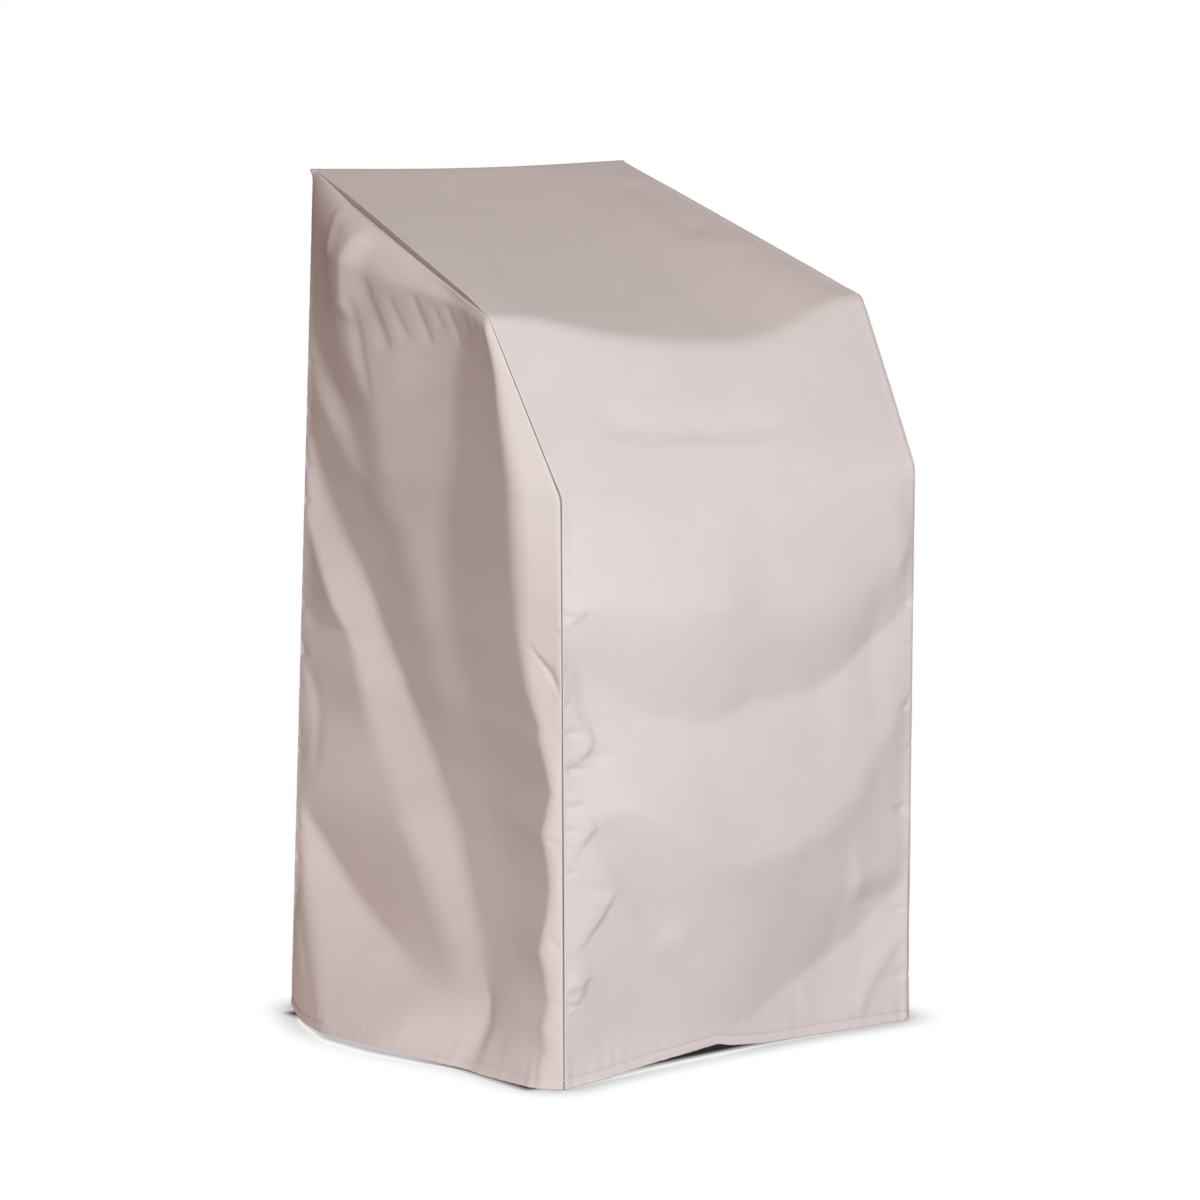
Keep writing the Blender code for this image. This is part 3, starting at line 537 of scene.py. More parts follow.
FRONT_HIGH_EDGE = table(
    Stop,
    (-315, 625, 0, 8), (-270, 612, 7, 12), (-220, 596, 15, 20), (-180, 586, 21, 22),
    (-100, 584, 28, 24), (-20, 584, 28, 24), (60, 582, 24, 24), (140, 588, 20, 22),
    (200, 606, 16, 18), (240, 626, 12, 12), (270, 642, 10, 8), (295, 648, 5, 6),
    (315, 645, 0, 6),
)
FRONT_HIGH_CREST = table(
    Stop,
    (-315, 650, 0, 20), (-270, 646, 14.5, 10), (-220, 642, 22.5, 10), (-140, 632, 31.5, 10),
    (-60, 630, 34.5, 10), (20, 626, 27, 30), (100, 630, 24, 30), (180, 640, 20, 26),
    (240, 658, 15, 20), (270, 680, 12, 14), (295, 705, 6, 10), (315, 725, 0, 10),
)
FRONT_LINES = (
    FRONT_LOW_VALLEY, FRONT_LOW_STEP, FRONT_LOW_CREST, FRONT_HIGH_VALLEY,
    FRONT_HIGH_EDGE, FRONT_HIGH_CREST,
)
print(len(FRONT_LINES), "fold lines across the front")

# %% [markdown]
# The front edge of the top sags down the slope between the seams, most near the middle:
# a slip row says how far right and how far down. The strip's short folds follow.

# %% Front edge of the top and short folds of the strip
Slip = namedtuple("Slip", "right down")
TOP_EDGE = table(
    Slip,
    (-335, 0), (-300, 2), (-250, 9), (-200, 22), (-150, 34), (-100, 45), (-40, 53), (20, 58),
    (80, 61), (110, 58), (150, 52), (200, 36), (250, 16), (295, 4), (335, 0),
)
STRIP_FOLDS = table(
    Fold,
    # The shallow band above the bend at the foot of the slope.
    (-200, 890, 90, 872, -6, 36, 30, -4, 0.1), (-100, 852, 120, 846, -3, 24, 20, 1.6, 0.2),
    # The dent at the right edge of the top, and a small one at the left edge.
    (236, 1480, 226, 1300, 4, 60, 60, -4, 0.2), (228, 1256, 292, 1256, 0, 40, 16, 1.2, 0.3),
    (-300, 1262, -262, 1258, 0, 14, 8, 1.6, 0.6),
    # The dark wedge under the low crest at the left, and the light ridge below it.
    (-262, 338, -128, 188, -6, 64, 30, -5.5, 0.35), (-266, 312, -132, 150, -6, 30, 36, 3, 0.3),
    # Low at the right: a light triangle, a dark band and small dark facets.
    (206, 206, 318, 222, 4, 95, 36, 6, 0.3), (225, 18, 314, 130, 8, 34, 18, 3.4, 0.6),
    (275, 655, 318, 700, 3, 22, 30, 3.4, 0.7), (140, 20, 128, 75, 0, 10, 20, 1.6, 0.6),
    # Slack across the hidden back.
    (-290, 2150, 20, 2060, -15, 70, 60, -16, 0.5), (20, 2060, 280, 2190, -15, 60, 70, -14, 0.5),
    (-280, 2480, 260, 2410, -20, 100, 60, -17, 0.4),
    (200, 1640, 90, 1960, 20, 50, 70, -10, 0.4), (-240, 1600, -180, 1860, -10, 60, 40, -8, 0.5),
    (240, 2740, 200, 2540, 10, 40, 60, -8, 0.4), (-100, 2760, -140, 2580, 10, 50, 50, -9, 0.4),
)
print(len(STRIP_FOLDS), "short folds on the strip")

# %% [markdown]
# ## Puckers
# Seam thread pulls the cloth a little shorter than it was cut, so the cloth on both
# sides of a seam caves in short fans that start at the seam. Each fan is a flat facet
# that sinks towards its crisp lower edge, and it gets shallower away from the seam.

# %% Puckers along a seam
Pucker = namedtuple("Pucker", "low reach slant tall below depth")
FAN_START = 0.0015
FAN_CLOSE = 0.0035


def pucker_relief(run, inset, puckers):
    """Height of the fans at `run` along a seam and `inset` away from it.

    Above its lower edge a fan rises evenly over its height there; below, it closes
    over the short length `below`. Both shrink evenly until nothing is left at `reach`.
    """
    relief = np.zeros_like(run)
    for fan in puckers:
        share = np.clip(1.0 - inset / fan.reach, 0.0, 1.0)
        above = run - fan.low - fan.slant * inset
        profile = np.clip(1.0 - above / (fan.tall * share + 1e-6), 0.0, 1.0)
        profile = np.minimum(profile, np.clip(1.0 + above / fan.below, 0.0, 1.0))
        start = FAN_START + 2.0 * abs(fan.depth)
        relief -= fan.depth * share * profile * smooth(inset / start)
    return relief


def scattered_puckers(seed, start, stop, pitch, reach, slope):
    """Uneven fans from start to stop, about `pitch` apart."""
    draw = np.random.default_rng(seed)
    count = int((stop - start) / pitch)
    lows = start + pitch * (np.arange(count) + draw.uniform(0.1, 0.9, count))
    reaches = reach * draw.uniform(0.3, 1.7, count)
    slants = draw.uniform(-0.3, 0.4, count)
    talls = pitch * draw.uniform(0.3, 0.9, count)
    return tuple(
        Pucker(low, far, slant, tall, FAN_CLOSE, slope * tall)
        for low, far, slant, tall in zip(lows, reaches, slants, talls)
    )


few = scattered_puckers(11, start=0.0, stop=0.2, pitch=0.04, reach=0.02, slope=0.16)
print("uneven fans start at, m:", [round(fan.low, 3) for fan in few])

# %% [markdown]
# The fans that show most are listed one by one, for both sides of both front seams.
# Where the pull is strongest the cloth breaks into facets, which are pockets.

# %% Fans and facets at the front seams
STRIP_POCKETS = (
    Pocket(+7.5, (-252, 238), ((-311, 274), (-230, 264), (-248, 224), (-302, 172))),
    Pocket(+6.0, (-268, 462), ((-311, 528), (-270, 502), (-260, 470), (-280, 438), (-310, 428))),
    Pocket(-3.4, (-258, 442), ((-305, 446), (-250, 458), (-212, 442), (-250, 426))),
    Pocket(+5.0, (-290, 640), ((-311, 662), (-288, 650), (-284, 632), (-308, 620))),
    Pocket(+6.0, (-276, 352), ((-310, 420), (-278, 384), (-266, 350), (-308, 300))),
    Pocket(+5.0, (-282, 130), ((-310, 174), (-268, 168), (-282, 120), (-306, 92))),
)
STRIP_LEFT_PUCKERS = table(
    Pucker,
    (636, 30, -0.1, 12, 3, 5.8), (615, 16, 0, 12, 3, 6.1), (560, 20, 0.2, 14, 3, 6.1),
    (514, 26, 0.2, 22, 3, 9.9), (478, 44, 0, 18, 3, 10.5), (457, 18, 0, 9, 3, 5.8),
    (431, 70, -0.1, 20, 4, 10.5), (402, 22, 0, 10, 3, 6.8), (378, 42, 0.1, 20, 3, 10.9),
    (348, 30, 0, 14, 3, 8.2), (326, 18, 0, 9, 3, 5.8), (290, 26, 0.2, 12, 3, 6.8),
    (237, 18, 0, 10, 3, 6.8), (138, 62, 0.2, 24, 12, -6), (110, 32, 0, 18, 3, 9.9),
    (72, 18, 0.2, 10, 3, 5.8), (32, 20, 0, 10, 3, 6.5),
)
LEFT_FRONT_PUCKERS = table(
    Pucker,
    (612, 22, 0.35, 12, 3, 3), (528, 40, 1.6, 40, 6, 7.5), (496, 12, 0, 10, 3, 3),
    (478, 18, 0, 12, 3, 3.3), (327, 30, 0.6, 14, 3, 4.2), (185, 22, 1.2, 20, 4, 5.4),
    (111, 14, 0.3, 22, 3, 4.5), (78, 20, 0.1, 12, 3, 3),
)
RIGHT_FRONT_PUCKERS = table(
    Pucker,
    (690, 20, 0.3, 18, 3, 3.6), (586, 26, 0.8, 20, 4, 4.8), (462, 34, 1.2, 30, 4, 6),
    (398, 14, 0.2, 10, 3, 2.7), (290, 26, 0.5, 18, 4, 4.5), (226, 16, 0, 12, 3, 3),
    (142, 28, 0.9, 22, 4, 4.8), (60, 18, 0.2, 14, 3, 3.3),
)
STRIP_RIGHT_PUCKERS = table(
    Pucker,
    (700, 20, 0.3, 20, 4, 5.1), (596, 30, 0.4, 24, 4, 7), (540, 18, 0, 14, 3, 4.3),
    (455, 30, -0.2, 30, 4, 8.6), (392, 16, 0, 12, 3, 4.3), (300, 36, 0.3, 26, 4, 7.8),
    (236, 14, 0, 10, 3, 3.5), (160, 24, 0.1, 18, 4, 5.9), (62, 30, 0.2, 26, 4, 7),
)
print(len(STRIP_LEFT_PUCKERS) + len(STRIP_RIGHT_PUCKERS), "fans on the strip")

# %% [markdown]
# ## Grids
# Each piece is one grid of points. It is fine where the shape is: rows crowd at the
# seams and the hem, and open out to a few millimetres in the panels.

# %% Spacing of the grids
HEM_DEPTH = 0.012
HEM_ROWS = np.array((0.0, 0.0012, 0.004, 0.008, 0.0102, 0.0112, 0.0120, 0.0128, 0.0138, 0.0160))
FIRST_STEP = 0.0004


def crowded_edge(step, growth, length):
    """Distances from an edge: steps grow from FIRST_STEP to `step`, up to `length`."""
    steps = FIRST_STEP * growth ** np.arange(200.0)
    places = np.concatenate([[0.0], np.cumsum(np.minimum(steps, step))])
    return places[places < length]


def shares_between(first, last, step, length):
    """Shares from 0 to 1 of a length: `first` at its start, `last` mirrored at its end."""
    middle = np.arange(first[-1] + step, length - last[-1] - 0.4 * step, step)
    return np.concatenate([first, middle, (length - last[::-1])]) / length


def surface_normals(points):
    """Unit normals of a grid of points, from the slopes along both directions."""
    normal = np.cross(np.gradient(points, axis=0), np.gradient(points, axis=1))
    return normal / np.linalg.norm(normal, axis=-1, keepdims=True)


print("first rows from a seam, m:", crowded_edge(0.0064, 1.32, 0.05)[:6].round(4))

# %% [markdown]
# ## Seams
# A seam holds the cloth: folds die out there, and the cloth dips into the stitching and
# rolls up a little beside it. The dip is deepest along the sides of the top and at the
# foot of the slope. A seam row says where, how deep, how wide, and how high the roll.

# %% Dip and roll at a seam
Seam = namedtuple("Seam", "run depth wide roll")
SEAM_GROOVE = table(
    Seam,
    (0, 2.2, 1, 0.6), (1150, 2.2, 1, 0.6), (1200, 1.2, 1, 0.4), (1240, 3, 1.4, 1),
    (1330, 9.5, 4.4, 3.6), (1640, 9.5, 4.4, 3.6), (1690, 3, 1.6, 1.2), (1722, 0.6, 0.8, 0.3),
    (1760, 2.2, 1, 0.6), (1940, 2.6, 1.1, 0.7), (1974, 4.5, 1.8, 0.8), (2020, 2.6, 1.1, 0.8),
    (2767, 2.4, 1.1, 0.8),
)
GROOVE_USUAL = 0.0011
ROLL_INSET = 0.0070
ROLL_WIDTH = 0.0042
SEAM_HOLD = 0.014


def groove(run, name):
    """One column of the groove table at each place along the seam."""
    return np.interp(run, column(SEAM_GROOVE, "run"), column(SEAM_GROOVE, name))


def seam_inward(run, inset, roll_share):
    """How deep the cloth dips at a seam, less how high it rolls up beside the stitching."""
    rolled = np.exp(-(((inset - ROLL_INSET) / ROLL_WIDTH) ** 2)) * groove(run, "roll") * roll_share
    return groove(run, "depth") * np.exp(-((inset / groove(run, "wide")) ** 2)) - rolled


def held(inset, reach=SEAM_HOLD):
    """1 - exp(-(inset / reach)^2): 0 at a seam, and nearly 1 from twice the reach."""
    return 1.0 - np.exp(-((inset / reach) ** 2))


EAR_SIZE = 0.006
EAR_REACH = 0.009


def corner_ear(run, inset):
    """The bunched seam allowance that sticks out at the back corners of the top."""
    away = ((run - corner_runs[1]) / EAR_REACH) ** 2 + (inset / EAR_REACH) ** 2
    return EAR_SIZE * np.exp(-away)


print("share of a fold left 5 mm from a seam:", round(float(held(0.005)), 3))

# %% [markdown]
# ## Hems
# The hem is turned up and stitched, so it is doubled below its stitch line and puckers
# over it. It also hangs unevenly: the tables say how far it stands out and how far it is
# lifted. On a side panel the hem's flare fades on the way up.

# %% Hem shapes
HEM_DOUBLING = 0.0007
HEM_DOUBLING_STEP = 0.0012
HEM_STITCH_DIP = 0.0011
HEM_STITCH_WIDTH = 0.0016
HEM_PUCKER_HEIGHT = 0.00035
HEM_PUCKER_REACH = 0.022
TURN = 6.283


def hem_relief(above, run, seed):
    """The doubled edge, the dip at its stitch line, and five sine waves that fade upwards."""
    doubled = HEM_DOUBLING * smooth((HEM_DEPTH - above) / HEM_DOUBLING_STEP)
    stitched = -HEM_STITCH_DIP * np.exp(-(((above - HEM_DEPTH) / HEM_STITCH_WIDTH) ** 2))
    draw = np.random.default_rng(seed)
    waves = np.zeros_like(run)
    for _ in range(5):
        pitch, phase = draw.uniform(0.011, 0.031), draw.uniform(0.0, 6.28)
        waves += np.sin(run * TURN / pitch + phase)
    fade = np.exp(-(((above - HEM_DEPTH) / HEM_PUCKER_REACH) ** 2))
    return doubled + stitched + HEM_PUCKER_HEIGHT * waves * fade


Lift = namedtuple("Lift", "right up")
FRONT_HEM_LIFT = table(
    Lift,
    (-320, 0), (-240, 1), (-160, 6), (-80, 10), (-25, 14), (0, 8), (60, 2), (200, 0), (320, 0),
)
HemRow = namedtuple("HemRow", "back out lift")
LEFT_HEM = table(
    HemRow,
    (0, 0, 0), (130, 0, 0), (185, 0, 2), (250, 0, 5), (310, 0, 8), (380, 0, 8), (445, 0, 6),
    (530, 0, 3), (594, 0, 0), (640, 0, 0),
)
RIGHT_HEM = table(
    HemRow,
    (0, 0, 0), (33, 8, 0), (80, 26, 0), (160, 52, 4), (240, 84, 7), (330, 78, 4), (420, 50, 0),
    (520, 26, 2), (590, 6, 0), (640, 0, 0),
)
FLARE_HEIGHTS = (0.00, 0.05, 0.10, 0.20, 0.40, 0.70, 1.05)
FLARE_SHARES = (1.00, 0.74, 0.52, 0.32, 0.20, 0.08, 0.00)
print("the right hem flares out by, m:", max(column(RIGHT_HEM, "out")))

# %% [markdown]
# ## The centre strip
# The strip's rows are set out by length of cloth. They are close together on the front
# and at the bends, and further apart up the back, where the cloth is plainer.

# %% Rows of the strip
def strip_rows():
    """Cloth length at each row of the strip. Each stretch is from, to and step."""
    top_back, top_front, _, front_hem = corner_runs[1:]
    stretches = (
        (HEM_ROWS[-1], top_back - 0.03, 0.040),
        (top_back - 0.03, top_back + 0.03, 0.006),
        (top_back + 0.03, top_front - 0.06, 0.011),
        (top_front - 0.06, top_front + 0.06, 0.0055),
        (top_front + 0.06, front_hem - 0.66, 0.008),
        (front_hem - 0.66, front_hem - HEM_ROWS[-1], 0.0034),
    )
    rows = [np.linspace(a, b, round((b - a) / step), endpoint=False) for a, b, step in stretches]
    return np.concatenate([HEM_ROWS[:-1], *rows, front_hem - HEM_ROWS[::-1]])


print("rows from the back hem to the front hem:", len(strip_rows()))

# %% [markdown]
# The strip is the path of the cloth carried from seam to seam. The folds, the fans and
# the hem are added along its own normals, so they stand square to the cloth on the back,
# the top, the slope and the front alike.

# %% Surface of the centre strip
STRIP_STEP = 0.0064
STRIP_WIDTH = 0.62
TOP_EDGE_HALF_WIDTH = 0.335
FRONT_HOLLOW = 0.022
FRONT_FOLDS_TOP = 0.80
FRONT_LIFT_REACH = 0.16
FACET_HOLD = 0.003
# A seam dips this far sideways for each unit along the other piece.
SIDEWAYS = 0.9
# The fans of the two back seams start at different heights.
BACK_FAN_SHIFT = 0.01
BACK_SEAM = dict(start=0.05, stop=1.15, slope=0.16)


def strip_surface():
    """Outer face of the centre strip, its place on the cloth and its distances to edges.

    A point is the cloth's path, its half width times `across` from -1 to 1, plus the
    sum of all relief along the normal, less the dip towards the seam.
    """
    edge = crowded_edge(STRIP_STEP, growth=1.32, length=0.05)
    across = shares_between(edge, edge, STRIP_STEP, STRIP_WIDTH)[None, :] * 2.0 - 1.0
    runs = strip_rows()[:, None]
    middle = np.broadcast_to(1.0 - across**2, (len(runs), across.shape[1]))
    runs = np.broadcast_to(runs, middle.shape)
    slip = eased(TOP_EDGE_HALF_WIDTH * across, column(TOP_EDGE, "right"), column(TOP_EDGE, "down"))
    path = cloth_path(runs, middle, np.broadcast_to(slip, runs.shape))
    points = path.copy()
    points[..., 0] *= across
    outward = surface_normals(points)
    outward *= np.sign(np.sum(outward * (points - points.mean(axis=(0, 1))), axis=-1).mean())

    run = corner_runs[4] - runs
    right = points[..., 0]
    inset = path[..., 0] * (1.0 - np.abs(across))
    above_hem = np.minimum(run, runs)
    hem_out = -FRONT_HOLLOW * middle
    relief = folded_section(run, right, FRONT_LINES, 0.0, FRONT_FOLDS_TOP, hem_out, 0.0)
    relief = np.where(run < FRONT_FOLDS_TOP, relief, 0.0)
    relief += short_folds(right, run, STRIP_FOLDS) * held(inset)
    relief += pockets(right, run, STRIP_POCKETS) * held(inset, FACET_HOLD)
    relief += hem_relief(above_hem, right, 3)
    back_fans = scattered_puckers(11, pitch=0.034, reach=0.024, **BACK_SEAM)
    for side, fans in ((-1, STRIP_LEFT_PUCKERS), (1, STRIP_RIGHT_PUCKERS)):
        on_side = across * side > 0.0
        relief += pucker_relief(run, inset, fans) * on_side
        relief += pucker_relief(runs + BACK_FAN_SHIFT * side, inset, back_fans) * on_side
    points += outward * relief[..., None]
    inward = outward * np.array((0.0, 1.0, 1.0))
    inward[..., 0] = np.sign(across) * SIDEWAYS
    inward = -inward / np.linalg.norm(inward, axis=-1, keepdims=True)
    points += inward * seam_inward(runs, inset, 1.0)[..., None]
    points[..., 0] += np.sign(across) * corner_ear(runs, inset)
    lift = np.interp(right, column(FRONT_HEM_LIFT, "right"), column(FRONT_HEM_LIFT, "up"))
    points[..., 2] += lift * smooth(1.0 - run / FRONT_LIFT_REACH)
    return points, np.stack([path[..., 0] * across, run], -1), np.stack([inset, above_hem], -1)


strip_points, strip_cloth, strip_edges = strip_surface()
print("grid of the strip:", strip_points.shape[:2])

# %% [markdown]
# ## The side panels
# A side panel is blended between its back seam, its front seam, its top seam and its
# hem. The points straight across from seam to seam and the points straight up from hem
# to top are added, and the part that is then counted twice is taken off once.

# %% Blend of four edges
def edge_blend(back, front, hem_line, top, u, v):
    """Blend of four edges: side to side, plus bottom to top, less the corners' own blend."""
    sides = back[:, None] * (1.0 - u) + front[:, None] * u
    ends = hem_line[None] * (1.0 - v) + top[None] * v
    corners = (back[0] * (1.0 - u) + front[0] * u) * (1.0 - v)
    corners = corners + (back[-1] * (1.0 - u) + front[-1] * u) * v
    return sides + ends - corners


corner_case = edge_blend(*np.ones((4, 2, 3)), np.ones((1, 2, 1)), np.ones((2, 1, 1)))
print("edges that are all at 1 blend to 1:", bool(np.all(corner_case == 1.0)))

# %% [markdown]
# The panel hangs nearly upright, so its relief is simply sideways. Long folds, short
# folds and pockets die out at the seams, and the swell under the top seam, the flare
# over the hem and the fans are added to them.

# %% Relief of a side panel
SWELL_STEPS = (0.0, 0.45, 0.80, 1.05, 1.50, 2.50, 4.50)
SWELL_SHARES = (0.0, 0.52, 0.88, 1.00, 0.90, 0.50, 0.00)


def panel_relief(set_back, height, insets, edge_places, tables, seed):
    """How far the panel stands out sideways: folds, pockets, swell, flare, hem and fans."""
    lines, folds, dents, swell, fans, hem = tables
    back_inset, top_inset, front_inset = insets
    hold = held(np.minimum(back_inset, top_inset))
    hold_all = hold * held(front_inset)
    relief = folded_section(set_back, height, lines, *edge_places, 0.0, 0.0) * hold
    relief += short_folds(set_back, height, folds) * hold_all
    relief += pockets(set_back, height, dents) * hold_all
    # The swell is greatest at its own `wide` below the top seam.
    swell_out, swell_wide = (
        eased(set_back, column(swell, "back"), column(swell, name)) for name in ("out", "wide")
    )
    swell_share = eased(top_inset / swell_wide, SWELL_STEPS, SWELL_SHARES)
    relief += swell_out * swell_share * held(back_inset) * held(front_inset)
    flare = eased(height, FLARE_HEIGHTS, FLARE_SHARES)
    relief += eased(set_back, column(hem, "back"), column(hem, "out")) * flare
    relief += hem_relief(height, set_back, seed)
    relief += pucker_relief(height, front_inset, fans)
    back_fans = scattered_puckers(seed + 1, pitch=0.036, reach=0.022, **BACK_SEAM)
    return relief + pucker_relief(height, back_inset, back_fans)


print("the swell is half out at", SWELL_STEPS[1], "of its depth below the seam")

# %% [markdown]
# One function makes both panels, each from its own tables. The front edge of a panel
# runs up the front seam and on up the slope, so its rows are shared out between the two.
# Last, the panel dips towards each seam, the way that lies between the joined pieces.

# %% Surface of a side panel
PANEL_WIDTH = 0.61
PANEL_STEP = 0.0068
PANEL_ROW_STEP = 0.0038
FRONT_ROWS_SHARE = 20.0 / 27.0
TOP_TILT = 0.35
HEM_LIFT_REACH = 0.30
ROLL_ON_PANEL = 0.35
# The ways in which the back, top and front seams dip.
SEAM_WAYS = ((SIDEWAYS, np.cos(0.02), 0.0), (SIDEWAYS, -0.345, 0.939), (SIDEWAYS, -1.0, 0.0))
# Up the slope the front seam faces more upwards: changes of y and z of its way.
SLOPE_WAY = (0.13, 0.5)
SLOPE_FOOT = 0.78
SLOPE_BLEND = 0.03


def side_surface(sign, *tables, seed):
    """Outer face of a side panel, its place on the cloth and its distances to edges."""
    back_edge = crowded_edge(0.0066, growth=1.32, length=0.04)
    front_edge = crowded_edge(0.0024, growth=1.30, length=0.045)
    top_edge = crowded_edge(PANEL_ROW_STEP, growth=1.45, length=0.02)
    u = shares_between(back_edge, front_edge, PANEL_STEP, PANEL_WIDTH)[None, :]
    v = shares_between(HEM_ROWS, top_edge, PANEL_ROW_STEP, TOP_HEIGHT)[:, None]
    back = cloth_path(corner_runs[1] * v[:, 0], np.zeros(v.size))
    top_runs = corner_runs[1] + (corner_runs[2] - corner_runs[1]) * u[0]
    top = cloth_path(top_runs, np.zeros(u.size))
    # Up the front seam, then up the slope, as one height share.
    front_runs = np.interp(v[:, 0], (0.0, FRONT_ROWS_SHARE, 1.0), corner_runs[[4, 3, 2]])
    front = cloth_path(front_runs, np.zeros(v.size))
    hem_line = back[0] + (front[0] - back[0]) * u[0][:, None]
    points = edge_blend(back, front, hem_line, top, u[..., None], v[..., None])
    set_back = points[..., 1] - FRONT_Y
    height = points[..., 2]

    insets = (
        u * PANEL_WIDTH + 0.0 * v,
        (1.0 - v) * TOP_HEIGHT * np.cos(TOP_TILT) + 0.0 * u,
        (1.0 - u) * PANEL_WIDTH + 0.0 * v,
    )
    front_place = np.interp(height, height[:, -1], set_back[:, -1])
    back_place = COVER_DEPTH + BACK_FLARE * (1.0 - height / TOP_HEIGHT)
    hem = tables[-1]
    lift = eased(set_back, column(hem, "back"), column(hem, "lift"))
    lift = lift * smooth(1.0 - height / HEM_LIFT_REACH)
    points[..., 0] += panel_relief(set_back, height, insets, (front_place, back_place), tables, seed)
    points[..., 2] += lift

    seam_runs = (
        corner_runs[1] * v + 0.0 * u,
        top_runs[None, :] + 0.0 * v,
        front_runs[:, None] + 0.0 * u,
    )
    slope_share = smooth((height - SLOPE_FOOT) / SLOPE_BLEND) * (u > 0.5)
    turned = (np.zeros_like(u), np.zeros_like(u), slope_share)
    for inset, seam_run, way, turn in zip(insets, seam_runs, SEAM_WAYS, turned):
        way = np.array(way) * np.ones(points.shape)
        way[..., 1] += SLOPE_WAY[0] * turn
        way[..., 2] += SLOPE_WAY[1] * turn
        way /= np.linalg.norm(way, axis=-1, keepdims=True)
        points -= way * seam_inward(seam_run, inset, ROLL_ON_PANEL)[..., None]
    points[..., 0] += corner_ear(seam_runs[0], insets[0])
    points[..., 0] *= sign
    # A wider groove gets a wider line of painted shade, so its distances count for less.
    scaled = [inset * GROOVE_USUAL / groove(run, "wide") for inset, run in zip(insets, seam_runs)]
    nearest = np.minimum(np.minimum(*scaled[:2]), scaled[2])
    return points, np.stack([set_back * sign, height], -1), np.stack([-nearest, height], -1)


left_points, left_cloth, left_edges = side_surface(
    -1, LEFT_LINES, LEFT_FOLDS, LEFT_POCKETS, LEFT_SWELL, LEFT_FRONT_PUCKERS, LEFT_HEM, seed=20
)
right_points, right_cloth, right_edges = side_surface(
    +1, RIGHT_LINES, RIGHT_FOLDS, (), RIGHT_SWELL, RIGHT_FRONT_PUCKERS, RIGHT_HEM, seed=30
)
print("grid of a side panel:", left_points.shape[:2])

# %% [markdown]
# ## From grids to cloth
# Each grid becomes one mesh of quads. Solidify then gives it the thinness of the cloth
# on the inner side, with the coating as its second material.

# %% Meshes of the three pieces
CLOTH_THICKNESS = 0.0007


def sheet_mesh(name, points, cloth, edges, flip):
    """Put a grid of points into a mesh, with two UV maps in metres.

    "cloth" is the place on the cloth. "edges" is the distance from the nearest seam,
    negative on a side panel, and the distance above the hem.
    """
    rows, columns = points.shape[:2]
    index = np.arange(rows * columns).reshape(rows, columns)
    quads = np.stack([index[:-1, :-1], index[:-1, 1:], index[1:, 1:], index[1:, :-1]], -1)
    quads = quads.reshape(-1, 4)
    if flip:
        quads = quads[:, ::-1]
    mesh = bpy.data.meshes.new(name)
    mesh.from_pydata(points.reshape(-1, 3), [], quads)
    for map_name, places in (("cloth", cloth), ("edges", edges)):
        uv = mesh.uv_layers.new(name=map_name)
        uv.data.foreach_set("uv", places.reshape(-1, 2)[quads.ravel()].astype(np.float32).ravel())
    mesh.shade_smooth()
    piece = bpy.data.objects.new(name, mesh)
    bpy.context.collection.objects.link(piece)
    wall = piece.modifiers.new("cloth thickness", "SOLIDIFY")
    wall.thickness = CLOTH_THICKNESS
    wall.offset = -1.0
    wall.material_offset = 1
    return piece


strip = sheet_mesh("centre_strip_cloth", strip_points, strip_cloth, strip_edges, True)
left = sheet_mesh("left_panel_cloth", left_points, left_cloth, left_edges, False)
right = sheet_mesh("right_panel_cloth", right_points, right_cloth, right_edges, True)
for piece in (strip, left, right):
    print(piece.name, len(piece.data.polygons) * 4, "triangles")

# %% [markdown]
# ## The cloth
# The cover is sewn from coated polyester. Close up it is a plain weave of half
# millimetre yarns; from further off it shows faint uneven dye. Both come from one node
# group that reads the cloth's own UV map, so the weave follows every fold.

# %% Node helpers
def group_tree(name, inputs, outputs):
    """A shader node group with float or vector inputs and float outputs."""
    tree = bpy.data.node_groups.new(name, "ShaderNodeTree")
    for label, kind in inputs:
        tree.interface.new_socket(label, in_out="INPUT", socket_type=kind)
    for label in outputs:
        tree.interface.new_socket(label, in_out="OUTPUT", socket_type="NodeSocketFloat")
    return tree, tree.nodes.new("NodeGroupInput"), tree.nodes.new("NodeGroupOutput")


def feed(tree, socket, value):
    """Link a socket from another socket, or set it to a plain value."""
    if isinstance(value, bpy.types.NodeSocket):
        tree.links.new(value, socket)
    else:
        socket.default_value = value


def fill(tree, node, **inputs):
    """Set or link a node's inputs by name. An underscore stands for a space."""
    for label, value in inputs.items():
        feed(tree, node.inputs[label.replace("_", " ")], value)
    return node


def new_node(tree, kind, **inputs):
    """A new node, with some of its inputs set or linked."""
    return fill(tree, tree.nodes.new(kind), **inputs)


def math_node(tree, operation, first, second=0.0, third=0.0):
    """The result of one sum on up to three values."""
    node = tree.nodes.new("ShaderNodeMath")
    node.operation = operation
    for socket, value in zip(node.inputs, (first, second, third)):
        feed(tree, socket, value)
    return node.outputs[0]


def soft_step(tree, value, start, stop, first=0.0, last=1.0):
    """`first` where value is start, `last` where it is stop, with an eased change between."""
    node = tree.nodes.new("ShaderNodeMapRange")
    node.interpolation_type = "SMOOTHSTEP"
    fill(tree, node, Value=value, From_Min=start, From_Max=stop, To_Min=first, To_Max=last)
    return node.outputs["Result"]


print("helpers:", [helper.__name__ for helper in (group_tree, fill, new_node, math_node, soft_step)])

# %% [markdown]
# In a plain weave every yarn goes over one and under the next. A checkerboard of yarn
# squares gives that with a few sums, sharper than an image and the same at any distance.

